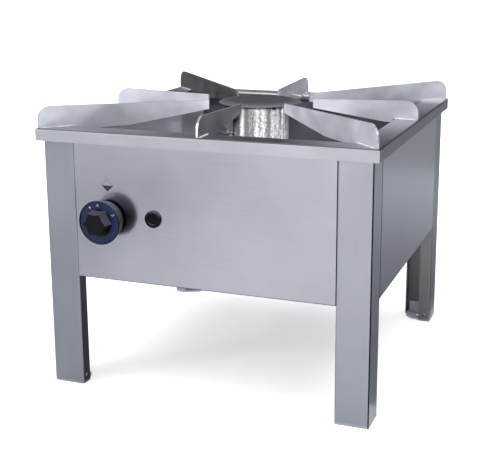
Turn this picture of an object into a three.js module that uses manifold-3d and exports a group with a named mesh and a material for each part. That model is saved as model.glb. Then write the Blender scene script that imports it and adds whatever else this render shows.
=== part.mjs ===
// A single-burner stock pot range: a low square stand of folded stainless steel sheet with eight
// radial pan supports over one large capped gas burner, a tap with a push-and-turn knob, a piezo
// igniter, a pilot with its flame sensor, and a drip tray that slides out at the front.
//
// Millimetres. +Z is up and the floor is z = 0. The front, with the knob, faces -Y.

import * as THREE from "three";
import { mergeVertices } from "three/addons/utils/BufferGeometryUtils.js";
import Module from "manifold-3d";

const wasm = await Module();
wasm.setup();

// ---------------------------------------------------------------- driving dimensions

// Stand
const standWidth = 600; // top frame, left to right
const standDepth = 600; // top frame, front to back
const standHeight = 462; // floor to the top of the frame
const sheet = 2; // stainless sheet of the frame, legs and panels
const bend = 3; // outside radius of every fold in that sheet
const clearance = 0.3; // between pieces that are welded, screwed or rest together
const past = 1; // how far a cutting tool runs past what it cuts

// Top frame
const frameBorder = 45; // width of its flat top
const frameSkirt = 21; // height of its outer edge
const frameLip = 10; // depth of the fold round the opening

// Legs and panels
const bodyInset = 10; // from the frame's outer edge to the faces of the legs and panels
const legWidth = 58;
const legLip = 23; // fold along each free edge of a leg
const seam = 0.4; // joint between a leg and a panel
const panelDrop = 260; // frame top to the panels' lower edge
const panelReturn = 20; // folds along a panel's top and sides
const panelFoot = 30; // fold along a panel's lower edge
const footThickness = 3; // plate that closes the bottom of each leg
const footTab = 22; // height of its upturned tabs
const footHoleRadius = 7;

// Pan supports
const finThickness = 4;
const finInnerRadius = 104; // circle on which all eight inner ends lie
const finInnerTop = 28.5; // above the frame
const finInnerHeight = 16;
const finSlope = 0.0255; // rise of the top edge per unit of radius
const finOuterRound = 22.5;
const finHang = 6; // how far a fin reaches below the frame's top inside the opening
const finEndInset = 2; // from the frame's outer edge to a fin's end
const cornerFinTaper = 0.71; // where the lower edge stops tapering, as a share of the opening
const sideFinTaper = 0.933;

// Burner
const drumRadius = 54;
const drumSheet = 1.5;
const drumTop = 18.5; // above the frame
const drumHeight = 106.5;
const portCount = 24;
const portWidth = 7;
const portDepth = 3.5;
const lightingNotchDepth = 8; // one deeper notch, where the pilot's flame crosses over
const lightingNotchAngle = -42;
const capRadius = 77;
const capEdge = 2;
const capChamfer = 0.6; // round its edge, above and below
const capCrown = 7.5; // rise of the cap's domed top over its edge
const capCollarRadius = 46;
const capCollarWall = 2.5;
const capCollarDepth = 9;
const baseSheet = 2;
const baseWall = 15;

// Crossbar that carries the burner
const crossbarWidth = 70;
const crossbarFlange = 16;
const crossbarTab = 40;

// Mixing tube
const mixerWall = 2.6;
const mouthRadius = 24;
const throatRadius = 12;
const mixerRadius = 17; // bore of the straight part and the elbow
const mixerBend = 40;
const mouthSetback = 56; // from the tap's axis to the tube's mouth
const throatShare = 0.35; // of the way from the mouth to the elbow
const coneShare = 0.88;
const bellSteps = [[0.08, 1], [0.38, 0.4], [0.75, 0.1]]; // [share of the way to the throat, flare left]

// Gas tap, on the front panel
const tapInset = 62; // from the front panel's left end
const tapDrop = 149.5; // below the top of the frame
const tapRadius = 18;
const tapBackLength = 55; // panel to the back of the tap's body
const tapShoulder = 6; // length of the body's rounded ends
const tapNeckRadius = 10.5;
const tapNeckReach = 1.3; // how far it stands out of its nut
const tapPortReach = 5; // how far its gas inlet stands out at the side
const tapNutRadius = 15;
const tapNutThickness = 5;
const spindleRadius = 4;
const spindleFit = 0.25;
const spindleDepth = 30; // how far the spindle reaches behind the panel
const plungerLength = 10;
const plungerFit = 0.5;
const pushTravel = 4;

// Knob
const knobRadius = 38; // rim round its dial
const knobBackRadius = 31.5;
const knobGap = 1.5; // between the knob's back and the panel with the knob pushed in
const knobReach = 34; // panel to the rim round the dial
const knobWall = 3;
const knobEdge = 1.5; // radius of the rim's rounded edge
const knobHubWall = 5;
const knobHubLength = 12;
const dialRecess = 1.5;
const dialInnerRadius = 23;
const dialOuterRadius = 36;
const dialThickness = 0.9;
const gripSides = 6;
const gripRadius = 25; // circle through its corners, just over the dial
const gripHollow = 1; // depth of the scoop along each side there
const gripFaceRadius = 22;
const gripFaceHollow = 3;
const gripFaceEdge = 1.2; // bevel round its face
const gripHeight = 18; // from the dial's back to the grip's face

// Igniter
const igniterSpacing = 84.5; // to the right of the tap
const igniterDrop = 144; // below the top of the frame
const igniterBezelRadius = 15;
const igniterBezelDepth = 5;
const igniterBarrelRadius = 10.5;
const igniterBarrelLength = 42;
const igniterTerminalRadius = 1.5;
const igniterTerminalLength = 8;
const igniterNutRadius = 14;
const igniterNutThickness = 4;
const buttonRadius = 8;
const buttonFit = 0.4;
const buttonLength = 14;
const buttonRecess = 1;
const buttonDish = 1; // depth of the hollow in its face
const buttonTravel = 6;

// Gas lines
const pipeRadius = 7; // supply
const feedRadius = 5; // tap to injector
const lineBend = 18;
const inletInset = 27; // from the rear panel's end behind the tap
const inletRadius = 10.5;
const inletBore = 6;
const inletReach = 28; // how far it stands out behind the rear panel
const inletNutRadius = 16;
const inletNutThickness = 7;
const inletSocket = 26; // how far it reaches in front of the rear panel
const inletSocketEnd = 12; // solid metal behind the pipe's end
const inletShoulder = 6; // thickness of its flange inside the panel
const injectorGap = 12; // injector tip to the mixing tube's mouth
const injectorRadius = 6;
const injectorLength = 24;
const injectorTip = 5; // length of its tapered tip
const injectorNutRadius = 9;
const injectorNutThickness = 6;
const bracketSheet = 3;
const bracketWidth = 44;
const bracketFoot = 24; // length of its fold under the crossbar
const bracketDrop = 16; // how far it reaches below the injector

// Pilot group, on the left of the burner
const pilotRadius = 60.5; // circle of the pilot, its sensor and the electrode
const pilotDrop = 32; // bracket's floor below the top of the frame
const pilotShieldRadius = 66;
const pilotLedgeRadius = 78;
const pilotSheet = 1.5;
const pilotShieldHeight = 36;
const pilotShieldFrom = 165; // degrees round the burner, anticlockwise from the right
const pilotShieldTo = 240;
const sensorAngle = 184;
const pilotAngle = 203;
const electrodeAngle = 222;
const pilotTubeRadius = 3.5;
const sensorRadius = 2.5;
const ceramicRadius = 3.2;
const wireRadius = 1.1;
const pilotFoot = 24; // how far they reach below the bracket
const pilotTipBelowCap = 8;
const pilotNozzle = 8; // length of the wider nozzle at its top
const sensorTip = 9; // length of the sensor's bare tip
const tipStep = 1; // height and width of the small steps on both
const ceramicTop = 16; // above the bracket
const ceramicTaper = 4;
const wireTipDrop = 2; // spark wire's end below the pilot's tip
const lineRadius = 2; // the three thin lines to this group
const lineCorner = 9;
const lineStart = 30; // straight run behind the front panel
const lineTurn = 40; // in front of the crossbar, where a line turns towards its end
const lineDip = 12; // depth of the rise to its end
const linePortSpread = 9; // two lines leave the tap's back this far either side of its axis
const linePortRise = 4;

// Drip tray and its runners
const trayWidth = 318;
const trayLength = 486;
const trayWall = 1.5;
const trayHeight = 12;
const runnerSheet = 1.5;
const runnerFlange = 14;
const runnerTop = 18;
const runnerEndInset = 45; // panel face to the runner's web
const runnerTabInset = 10; // panel face to the end of its fixing tab

const roundSides = 48; // facets round large turned pieces
const smallSides = 20; // and round small ones

// ---------------------------------------------------------------- derived places

const frameTop = standHeight;
const bodyX = standWidth / 2 - bodyInset; // faces of the side panels
const bodyY = standDepth / 2 - bodyInset; // faces of the front and rear panels
const openX = standWidth / 2 - frameBorder;
const openY = standDepth / 2 - frameBorder;
const legTop = frameTop - sheet - clearance;
const panelBottom = frameTop - panelDrop;
const panelTop = legTop;
const drumRimZ = frameTop + drumTop - clearance;
const drumBottomZ = drumRimZ - drumHeight;
const baseBottomZ = drumBottomZ - clearance - baseSheet;
const crossbarTopZ = baseBottomZ - clearance;
const mixerOuter = mixerRadius + mixerWall;
const panelEndX = bodyX - legWidth;
const tapX = -panelEndX + tapInset;
const mouthOffset = -tapX - mouthSetback; // burner axis to the mixing tube's mouth
const inletX = -panelEndX + inletInset;
const tapZ = frameTop - tapDrop;
const mixerZ = tapZ; // the mixing tube lies level with the tap
const tapBackY = -bodyY + tapBackLength;
const panelFrontY = -bodyY;
const knobBack = pushTravel + knobGap;
const dialFace = knobReach - dialRecess;
const gripFace = dialFace - dialThickness + gripHeight;
const inletEndY = bodyY + inletReach;
const igniterX = tapX + igniterSpacing;
const igniterZ = frameTop - igniterDrop;
const injectorTipX = -mouthOffset - injectorGap;
const pilotFloorZ = frameTop - pilotDrop;
const runnerTopZ = panelBottom - clearance;
const trayFloorZ = runnerTopZ - runnerSheet - clearance - trayHeight;
const runnerWebX = trayWidth / 2 + clearance * 2;

// ---------------------------------------------------------------- materials

function finish(color, metalness, roughness) {
  return new THREE.MeshStandardMaterial({ color, metalness, roughness });
}

const brushed = finish(0xa9acb3, 1, 0.38);
const heavyPlate = finish(0xb0b3ba, 1, 0.42);
const polished = finish(0xd5d5d8, 1, 0.22);
const darkIron = finish(0x4c4b50, 0.6, 0.6);
const zinc = finish(0x9a9da2, 1, 0.45);
const brass = finish(0xb59a55, 1, 0.35);
const steelPipe = finish(0x8d9095, 1, 0.4);
const copper = finish(0xb0714f, 1, 0.35);
const blackPlastic = finish(0x1d1d20, 0, 0.4);
const dialBlue = finish(0x24336b, 0, 0.35);
const ceramic = finish(0xe9e5dc, 0, 0.3);
const redSilicone = finish(0x8e2f26, 0, 0.55);

// ---------------------------------------------------------------- solids

const TURN = Math.PI * 2;
const RIGHT_ANGLE = Math.PI / 2;
const UP = new THREE.Vector3(0, 0, 1);

function radians(degrees) {
  return (degrees * Math.PI) / 180;
}

// A closed geometry as a manifold-3d solid, with its shared vertices merged.
function solidOf(geometry) {
  const bare = geometry.clone();
  bare.deleteAttribute("normal");
  bare.deleteAttribute("uv");
  const merged = mergeVertices(bare, 1e-3);
  return new wasm.Manifold(
    new wasm.Mesh({
      numProp: 3,
      vertProperties: merged.attributes.position.array,
      triVerts: new Uint32Array(merged.index.array),
    }),
  );
}

function geometryOf(solid) {
  const mesh = solid.getMesh();
  const geometry = new THREE.BufferGeometry();
  geometry.setAttribute("position", new THREE.BufferAttribute(mesh.vertProperties, 3));
  geometry.setIndex(new THREE.BufferAttribute(mesh.triVerts, 1));
  geometry.computeVertexNormals();
  return geometry;
}

function join(...geometries) {
  const [first, ...rest] = geometries.map(solidOf);
  return geometryOf(rest.reduce((whole, piece) => whole.add(piece), first));
}

function cut(body, ...tools) {
  return geometryOf(tools.map(solidOf).reduce((rest, tool) => rest.subtract(tool), solidOf(body)));
}

// A box between two corners.
function block(low, high) {
  const size = high.map((value, axis) => value - low[axis]);
  const middle = high.map((value, axis) => (value + low[axis]) / 2);
  return new THREE.BoxGeometry(...size).translate(...middle);
}

// A cylinder or cone from one height to another, along +Z.
function rod(radius, low, high, sides = smallSides, topRadius = radius) {
  return new THREE.CylinderGeometry(topRadius, radius, high - low, sides)
    .rotateX(RIGHT_ANGLE)
    .translate(0, 0, (low + high) / 2);
}

// A solid of revolution about Z from [radius, height] points that run up its outer side.
function turned(points, sides = roundSides) {
  const profile = points.map(([radius, height]) => new THREE.Vector2(radius, height));
  return geometryOf(solidOf(new THREE.LatheGeometry(profile, sides))).rotateX(RIGHT_ANGLE);
}

// The same for a ring, whose section is a closed loop of points.
function turnedRing(points, sides = roundSides) {
  return turned([...points, points[0]], sides);
}

function outline(points) {
  return new THREE.Shape(points.map(([x, y]) => new THREE.Vector2(x, y)));
}

// An outline in the XY plane, pushed up from one height to another.
function extruded(shape, low, high) {
  const geometry = new THREE.ExtrudeGeometry(shape, {
    depth: high - low,
    bevelEnabled: false,
    curveSegments: 6,
  });
  return geometry.translate(0, 0, low);
}

// The section of a folded sheet. The points are its outer face; every fold turns left, and the
// material lies on the left.
function foldedSheet(points, thickness = sheet, radius = bend) {
  const corners = points.map(([x, y]) => new THREE.Vector2(x, y));
  const heading = (i) => corners[i + 1].clone().sub(corners[i]).normalize();
  const leftOf = (v) => new THREE.Vector2(-v.y, v.x);
  const arcSteps = 3;
  const outer = [corners[0]];
  const inner = [corners[0].clone().addScaledVector(leftOf(heading(0)), thickness)];
  for (let i = 1; i < corners.length - 1; i++) {
    const before = heading(i - 1);
    const after = heading(i);
    const turn = before.angleTo(after);
    const centre = corners[i]
      .clone()
      .addScaledVector(before, -radius * Math.tan(turn / 2))
      .addScaledVector(leftOf(before), radius);
    for (let step = 0; step <= arcSteps; step++) {
      const spoke = leftOf(before).negate().rotateAround(new THREE.Vector2(), (turn * step) / arcSteps);
      outer.push(centre.clone().addScaledVector(spoke, radius));
      inner.push(centre.clone().addScaledVector(spoke, radius - thickness));
    }
  }
  const last = corners.length - 1;
  outer.push(corners[last]);
  inner.push(corners[last].clone().addScaledVector(leftOf(heading(last - 1)), thickness));
  return new THREE.Shape([...outer, ...inner.reverse()]);
}

// A rectangular ring swept along a closed section of [inset from the outer edge, height] points.
function mitredFrame(halfWidth, halfDepth, section) {
  const signs = [[-1, -1], [1, -1], [1, 1], [-1, 1]];
  const positions = [];
  for (const [inset, height] of section) {
    for (const [sx, sy] of signs) {
      positions.push(sx * (halfWidth - inset), sy * (halfDepth - inset), height);
    }
  }
  const index = [];
  const count = section.length;
  for (let i = 0; i < count; i++) {
    for (let side = 0; side < 4; side++) {
      const a = i * 4 + side;
      const b = i * 4 + ((side + 1) % 4);
      const c = ((i + 1) % count) * 4 + ((side + 1) % 4);
      const d = ((i + 1) % count) * 4 + side;
      index.push(a, b, c, a, c, d);
    }
  }
  const geometry = new THREE.BufferGeometry();
  geometry.setAttribute("position", new THREE.Float32BufferAttribute(positions, 3));
  geometry.setIndex(index);
  return geometry;
}

// A pipe's centreline: straight runs between the given points, with an arc at each corner. Its
// parameter steps from one stored point to the next, so that a straight run is one step.
class PipeRoute extends THREE.Curve {
  constructor(points, radius, arcSteps = 4) {
    super();
    const corners = points.map((p) => new THREE.Vector3(...p));
    this.knots = [corners[0]];
    for (let i = 1; i < corners.length - 1; i++) {
      const before = corners[i].clone().sub(corners[i - 1]).normalize();
      const after = corners[i + 1].clone().sub(corners[i]).normalize();
      const turn = before.angleTo(after);
      const setback = radius * Math.tan(turn / 2);
      const start = corners[i].clone().addScaledVector(before, -setback);
      const axis = before.clone().cross(after).normalize();
      const toCentre = axis.clone().cross(before);
      const centre = start.clone().addScaledVector(toCentre, radius);
      for (let step = 0; step <= arcSteps; step++) {
        const spoke = toCentre.clone().negate().applyAxisAngle(axis, (turn * step) / arcSteps);
        this.knots.push(centre.clone().addScaledVector(spoke, radius));
      }
    }
    this.knots.push(corners[corners.length - 1]);
  }

  getPointAt(u, target = new THREE.Vector3()) {
    const place = u * (this.knots.length - 1);
    const i = Math.min(Math.floor(place + 1e-6), this.knots.length - 2);
    return target.lerpVectors(this.knots[i], this.knots[i + 1], place - i);
  }

  getTangentAt(u, target = new THREE.Vector3()) {
    const i = Math.round(u * (this.knots.length - 1));
    const ahead = this.knots[Math.min(i + 1, this.knots.length - 1)];
    const behind = this.knots[Math.max(i - 1, 0)];
    const here = this.knots[i];
    target.set(0, 0, 0);
    if (i < this.knots.length - 1) target.add(ahead.clone().sub(here).normalize());
    if (i > 0) target.add(here.clone().sub(behind).normalize());
    return target.normalize();
  }
}

function pipe(points, radius, bendRadius = lineBend, sides = 12) {
  const route = new PipeRoute(points, bendRadius);
  const circle = new THREE.Shape(new THREE.Path().absarc(0, 0, radius, 0, TURN).getSpacedPoints(sides));
  return new THREE.ExtrudeGeometry(circle, {
    steps: route.knots.length - 1,
    extrudePath: route,
    bevelEnabled: false,
  });
}

function hexagon(radius) {
  const corner = (i) => [radius * Math.cos((i * TURN) / 6), radius * Math.sin((i * TURN) / 6)];
  return [0, 1, 2, 3, 4, 5].map(corner);
}

// A hexagonal nut along Z with a plain bore.
function nut(radius, bore, low, high) {
  return cut(extruded(outline(hexagon(radius)), low, high), rod(bore, low - past, high + past));
}

// Turns a piece that was made along +Z so that it points forwards (-Y), or to the right (+X).
function facingFront(geometry) {
  return geometry.rotateX(RIGHT_ANGLE);
}

function facingRight(geometry) {
  return geometry.rotateY(RIGHT_ANGLE);
}

// ---------------------------------------------------------------- the model's tree

const range = new THREE.Group();

function place(name, geometry, material, { at = [0, 0, 0], turn = 0, parent = range } = {}) {
  const mesh = new THREE.Mesh(geometry, material);
  mesh.name = name;
  mesh.position.set(...at);
  mesh.rotation.z = turn;
  parent.add(mesh);
  return mesh;
}

// ---------------------------------------------------------------- top frame and pan supports

function topFrameGeometry() {
  const low = -frameSkirt;
  const arc = (insetOfCentre, radius, from, to) => {
    const steps = 3;
    const points = [];
    for (let i = 0; i <= steps; i++) {
      const angle = radians(from + ((to - from) * i) / steps);
      points.push([insetOfCentre + radius * Math.cos(angle), -bend + radius * Math.sin(angle)]);
    }
    return points;
  };
  return mitredFrame(standWidth / 2, standDepth / 2, [
    [0, low],
    ...arc(bend, bend, 180, 90),
    ...arc(frameBorder - bend, bend, 90, 0),
    [frameBorder, -frameLip],
    [frameBorder - sheet, -frameLip],
    ...arc(frameBorder - bend, bend - sheet, 0, 90),
    ...arc(bend, bend - sheet, 90, 180),
    [sheet, low],
  ]);
}

// A fin in its own frame: X runs out from the burner's axis, Z is up, and Z = 0 is the frame's top.
function finGeometry(outerRadius, openingRadius, taper) {
  const topAt = (radius) => finInnerTop + finSlope * (radius - finInnerRadius);
  const step = openingRadius - finThickness / 2 - clearance * 2;
  const shape = new THREE.Shape();
  shape.moveTo(outerRadius, clearance);
  shape.lineTo(outerRadius, topAt(outerRadius) - finOuterRound);
  shape.absarc(
    outerRadius - finOuterRound,
    topAt(outerRadius) - finOuterRound,
    finOuterRound,
    0,
    RIGHT_ANGLE,
  );
  shape.lineTo(finInnerRadius, finInnerTop);
  shape.lineTo(finInnerRadius, finInnerTop - finInnerHeight);
  shape.lineTo(openingRadius * taper, -finHang);
  shape.lineTo(step, -finHang);
  shape.lineTo(step, clearance);
  return extruded(shape, -finThickness / 2, finThickness / 2).rotateX(RIGHT_ANGLE);
}

place("top_frame", topFrameGeometry(), brushed, { at: [0, 0, frameTop] });

const finTargets = {
  right: [1, 0],
  rear_right: [1, 1],
  rear: [0, 1],
  rear_left: [-1, 1],
  left: [-1, 0],
  front_left: [-1, -1],
  front: [0, -1],
  front_right: [1, -1],
};
for (const [side, [sx, sy]] of Object.entries(finTargets)) {
  const isCorner = sx !== 0 && sy !== 0;
  const endInset = isCorner ? finEndInset + finThickness / 2 : finEndInset;
  const outer = Math.hypot(sx * (standWidth / 2 - endInset), sy * (standDepth / 2 - endInset));
  const angle = Math.atan2(sy * standDepth, sx * standWidth);
  const openingRadius = Math.min(openX / Math.abs(Math.cos(angle)), openY / Math.abs(Math.sin(angle)));
  const fin = finGeometry(outer, openingRadius, isCorner ? cornerFinTaper : sideFinTaper);
  place("pan_support_" + side, fin, heavyPlate, { at: [0, 0, frameTop], turn: angle });
}

// ---------------------------------------------------------------- legs and feet

// One leg in its own frame: the outer corner is the origin and the two faces run along +X and +Y.
function legGeometry() {
  const section = foldedSheet([
    [legLip, legWidth],
    [0, legWidth],
    [0, 0],
    [legWidth, 0],
    [legWidth, legLip],
  ]);
  return extruded(section, 0, legTop);
}

// The plate that closes a leg: it fits inside the folds, is rounded between the two lips and has
// a tab up each face.
function footGeometry() {
  const low = sheet + clearance;
  const high = legWidth - sheet - clearance;
  const tabFrom = low + bend;
  const tabTo = high - bend;
  const corner = bend - sheet + clearance;
  const plate = outline([
    [low + corner, low],
    [high - corner, low],
    [high, low + corner],
  ]);
  plate.absarc(legLip, legLip, high - legLip, 0, RIGHT_ANGLE);
  plate.lineTo(low + corner, high);
  plate.lineTo(low, high - corner);
  plate.lineTo(low, low + corner);
  const middle = legWidth / 2;
  const hole = rod(footHoleRadius, -past, footThickness + past).translate(middle, middle, 0);
  const solid = join(
    extruded(plate, 0, footThickness),
    block([tabFrom, low, 0], [tabTo, low + sheet, footTab]),
    block([low, tabFrom, 0], [low + sheet, tabTo, footTab]),
  );
  return cut(solid, hole);
}

const corners = {
  front_left: [-1, -1, 0],
  front_right: [1, -1, 1],
  rear_right: [1, 1, 2],
  rear_left: [-1, 1, 3],
};
for (const [corner, [sx, sy, quarterTurns]] of Object.entries(corners)) {
  const seat = { at: [sx * bodyX, sy * bodyY, 0], turn: quarterTurns * RIGHT_ANGLE };
  place("leg_" + corner, legGeometry(), brushed, seat);
  place("foot_plate_" + corner, footGeometry(), zinc, seat);
}

// ---------------------------------------------------------------- panels

// A panel in its own frame: it is centred on X, its outer face is Y = 0 and looks towards -Y.
function panelGeometry(distanceBetweenCorners) {
  const half = distanceBetweenCorners / 2 - legWidth - seam;
  const section = foldedSheet([
    [panelReturn, panelTop],
    [0, panelTop],
    [0, panelBottom],
    [panelFoot, panelBottom],
  ]);
  const skin = extruded(section, -half, half).rotateX(RIGHT_ANGLE).rotateZ(RIGHT_ANGLE);
  const flange = (x) => block([x, sheet / 2, panelBottom + bend], [x + sheet, panelReturn, panelTop - bend]);
  return join(skin, flange(-half), flange(half - sheet));
}

function frontPanelGeometry() {
  const tapHole = facingFront(rod(tapNeckRadius + clearance, -sheet * 2, sheet * 2));
  const igniterHole = facingFront(rod(igniterBarrelRadius + clearance, -sheet * 2, sheet * 2));
  return cut(
    panelGeometry(2 * bodyX),
    tapHole.translate(tapX, 0, tapZ),
    igniterHole.translate(igniterX, 0, igniterZ),
  );
}

function rearPanelGeometry() {
  const hole = facingFront(rod(inletRadius + clearance, -sheet * 2, sheet * 2));
  return cut(panelGeometry(2 * bodyX), hole.translate(-inletX, 0, tapZ));
}

place("front_panel", frontPanelGeometry(), brushed, { at: [0, -bodyY, 0] });
place("rear_panel", rearPanelGeometry(), brushed, { at: [0, bodyY, 0], turn: Math.PI });
place("right_panel", panelGeometry(2 * bodyY), brushed, { at: [bodyX, 0, 0], turn: RIGHT_ANGLE });
place("left_panel", panelGeometry(2 * bodyY), brushed, { at: [-bodyX, 0, 0], turn: -RIGHT_ANGLE });

// ---------------------------------------------------------------- drip tray and runners

// The left runner: a J-shaped rail with a flat tab at each end, under the panels' lower folds.
function runnerGeometry() {
  const railEnd = bodyY - runnerEndInset;
  const tabEnd = bodyY - runnerTabInset;
  const hookZ = trayFloorZ - clearance - runnerSheet;
  const web = [-runnerWebX - runnerSheet, -runnerWebX];
  return join(
    block([web[0] - runnerTop, -tabEnd, runnerTopZ - runnerSheet], [web[1], tabEnd, runnerTopZ]),
    block([web[0], -railEnd, hookZ], [web[1], railEnd, runnerTopZ - runnerSheet / 2]),
    block([web[0], -railEnd, hookZ], [web[1] + runnerFlange, railEnd, hookZ + runnerSheet]),
  );
}

function trayGeometry() {
  const x = trayWidth / 2;
  const y = trayLength / 2;
  return cut(
    block([-x, -y, trayFloorZ], [x, y, trayFloorZ + trayHeight]),
    block(
      [-x + trayWall, -y + trayWall, trayFloorZ + trayWall],
      [x - trayWall, y - trayWall, trayFloorZ + trayHeight + past],
    ),
  );
}

place("tray_runner_left", runnerGeometry(), zinc);
place("tray_runner_right", runnerGeometry(), zinc, { turn: Math.PI });
place("drip_tray", trayGeometry(), brushed);

// ---------------------------------------------------------------- burner

function crossbarGeometry() {
  const end = bodyX - sheet - clearance;
  const half = crossbarWidth / 2;
  const low = crossbarTopZ - crossbarFlange;
  const section = foldedSheet([
    [-half, low],
    [-half, crossbarTopZ],
    [half, crossbarTopZ],
    [half, low],
  ].reverse());
  const channel = extruded(section, -end, end).rotateX(RIGHT_ANGLE).rotateZ(RIGHT_ANGLE);
  const tab = (x) => block([x, -half, crossbarTopZ - crossbarTab], [x + sheet, half, crossbarTopZ - bend]);
  const hole = rod(mixerOuter + clearance, low - past, crossbarTopZ + past, 32);
  return cut(join(channel, tab(-end), tab(end - sheet)), hole);
}

function burnerBaseGeometry() {
  const wall = drumRadius + clearance;
  return turnedRing([
    [mixerOuter + clearance, baseBottomZ],
    [wall + baseSheet, baseBottomZ],
    [wall + baseSheet, baseBottomZ + baseWall],
    [wall, baseBottomZ + baseWall],
    [wall, baseBottomZ + baseSheet],
    [mixerOuter + clearance, baseBottomZ + baseSheet],
  ]);
}

function burnerDrumGeometry() {
  const shell = turnedRing([
    [drumRadius - drumSheet, drumBottomZ],
    [drumRadius, drumBottomZ],
    [drumRadius, drumRimZ],
    [drumRadius - drumSheet, drumRimZ],
  ]);
  const ports = Array.from({ length: portCount / 2 }, (_, i) => {
    const slot = block(
      [-drumRadius - past, -portWidth / 2, drumRimZ - portDepth],
      [drumRadius + past, portWidth / 2, drumRimZ + past],
    );
    return slot.rotateZ(((i + 0.5) * TURN) / portCount);
  });
  const notch = block(
    [drumRadius - drumSheet * 2, -portWidth / 2, drumRimZ - lightingNotchDepth],
    [drumRadius + past, portWidth / 2, drumRimZ + past],
  );
  return cut(shell, ...ports, notch.rotateZ(radians(lightingNotchAngle)));
}

function burnerCapGeometry() {
  const under = drumRimZ + clearance;
  const edge = under + capEdge;
  const collar = capCollarRadius - capCollarWall;
  const crown = [0.8, 0.5, 0.25].map((share) => [capRadius * share, edge + capCrown * (1 - share * share)]);
  return turned([
    [0, under],
    [collar, under],
    [collar, under - capCollarDepth],
    [capCollarRadius, under - capCollarDepth],
    [capCollarRadius, under],
    [capRadius - capChamfer, under],
    [capRadius, under + capChamfer],
    [capRadius, edge - capChamfer],
    [capRadius - capChamfer, edge],
    ...crown,
    [0, edge + capCrown],
  ]);
}

// The bore and the outside of the mixing tube differ only by the wall: a bell mouth, a throat, a
// widening cone, then an elbow that turns up into the burner.
function mixerBody(wall, overrun) {
  const flare = mouthRadius - throatRadius;
  const length = mouthOffset - mixerBend;
  const throat = length * throatShare;
  const horn = turned(
    [
      [0, -overrun],
      [mouthRadius + wall, -overrun],
      ...bellSteps.map(([way, left]) => [throatRadius + flare * left + wall, throat * way]),
      [throatRadius + wall, throat],
      [mixerRadius + wall, length * coneShare],
      [mixerRadius + wall, length],
      [0, length],
    ],
    24,
  );
  const elbow = pipe(
    [
      [-mixerBend - length * (1 - coneShare), 0, 0],
      [0, 0, 0],
      [0, 0, drumBottomZ - mixerZ - baseSheet + overrun],
    ],
    mixerRadius + wall,
    mixerBend,
    24,
  );
  return join(facingRight(horn).translate(-mouthOffset, 0, 0), elbow);
}

place("burner_crossbar", crossbarGeometry(), zinc);
place("burner_base", burnerBaseGeometry(), zinc);
place("burner_drum", burnerDrumGeometry(), polished);
place("burner_cap", burnerCapGeometry(), darkIron);
place("mixing_tube", cut(mixerBody(mixerWall, 0), mixerBody(0, past)), darkIron, { at: [0, 0, mixerZ] });

// ---------------------------------------------------------------- injector and feed pipe

// An angle under the crossbar that holds the injector in line with the mixing tube.
function injectorBracketGeometry() {
  const under = crossbarTopZ - sheet - clearance;
  const half = Math.min(bracketWidth, crossbarWidth - 2 * sheet - 2) / 2;
  const face = injectorTipX - injectorLength / 2;
  const hole = facingRight(rod(injectorRadius + clearance, -bracketSheet * 2, bracketSheet * 2));
  return cut(
    join(
      block([face - bracketSheet / 2, -half, mixerZ - bracketDrop], [face + bracketSheet / 2, half, under]),
      block([face, -half, under - bracketSheet], [face + bracketFoot, half, under]),
    ),
    hole.translate(face, 0, mixerZ),
  );
}

// The brass injector points at the mixing tube's mouth; its hexagon seats against the bracket.
function injectorGeometry() {
  const seat = -injectorLength / 2 - bracketSheet / 2 - clearance;
  const body = turned(
    [
      [0, seat - clearance],
      [injectorRadius, seat - clearance],
      [injectorRadius, -injectorTip],
      [injectorRadius * 0.5, 0],
      [0, 0],
    ],
    smallSides,
  );
  const hexagonPart = extruded(outline(hexagon(injectorNutRadius)), seat - injectorNutThickness, seat);
  return facingRight(join(body, hexagonPart));
}

// The feed pipe leaves the back of the tap, turns right and ends in the injector.
function feedPipeRoute() {
  const seat = injectorTipX - injectorLength / 2 - bracketSheet / 2 - clearance;
  const endX = seat - injectorNutThickness - clearance;
  return [
    [tapX, tapBackY + clearance, mixerZ],
    [tapX, 0, mixerZ],
    [endX, 0, mixerZ],
  ];
}

place("injector_bracket", injectorBracketGeometry(), zinc);
place("injector", injectorGeometry(), brass, { at: [injectorTipX, 0, mixerZ] });

// ---------------------------------------------------------------- gas tap

// The tap is turned about the spindle, made along +Z with the panel's face at 0 and its back below.
function tapGeometry() {
  const bore = spindleRadius + spindleFit;
  const neckEnd = tapNutThickness + tapNeckReach;
  const body = turned(
    [
      [0, -tapBackLength],
      [tapRadius * 0.7, -tapBackLength],
      [tapRadius, -tapBackLength + tapShoulder],
      [tapRadius, -sheet - clearance - tapShoulder],
      [tapRadius * 0.8, -sheet - clearance],
      [tapNeckRadius, -sheet - clearance],
      [tapNeckRadius, neckEnd],
      [0, neckEnd],
    ],
    32,
  );
  const port = facingRight(rod(pipeRadius + 3, -tapRadius - tapPortReach, 0)).translate(0, 0, -tapBackLength / 2);
  const boreDepth = spindleDepth + plungerLength + pushTravel + 2 * clearance;
  return cut(join(body, port), rod(bore, -boreDepth, neckEnd + past));
}

function spindleGeometry() {
  return rod(spindleRadius, -spindleDepth, dialFace - knobWall - clearance, smallSides);
}

function plungerGeometry() {
  const front = -spindleDepth - clearance;
  return rod(spindleRadius - plungerFit, front - plungerLength, front, smallSides);
}

const tapPlace = { at: [tapX, panelFrontY, tapZ] };
const tapNut = nut(tapNutRadius, tapNeckRadius + clearance, clearance, clearance + tapNutThickness);
place("gas_tap_body", facingFront(tapGeometry()), brass, tapPlace);
place("tap_nut", facingFront(tapNut), zinc, tapPlace);
place("tap_plunger", facingFront(plungerGeometry()), zinc, tapPlace);
place("tap_spindle", facingFront(spindleGeometry()), zinc, tapPlace);

// ---------------------------------------------------------------- knob

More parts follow.
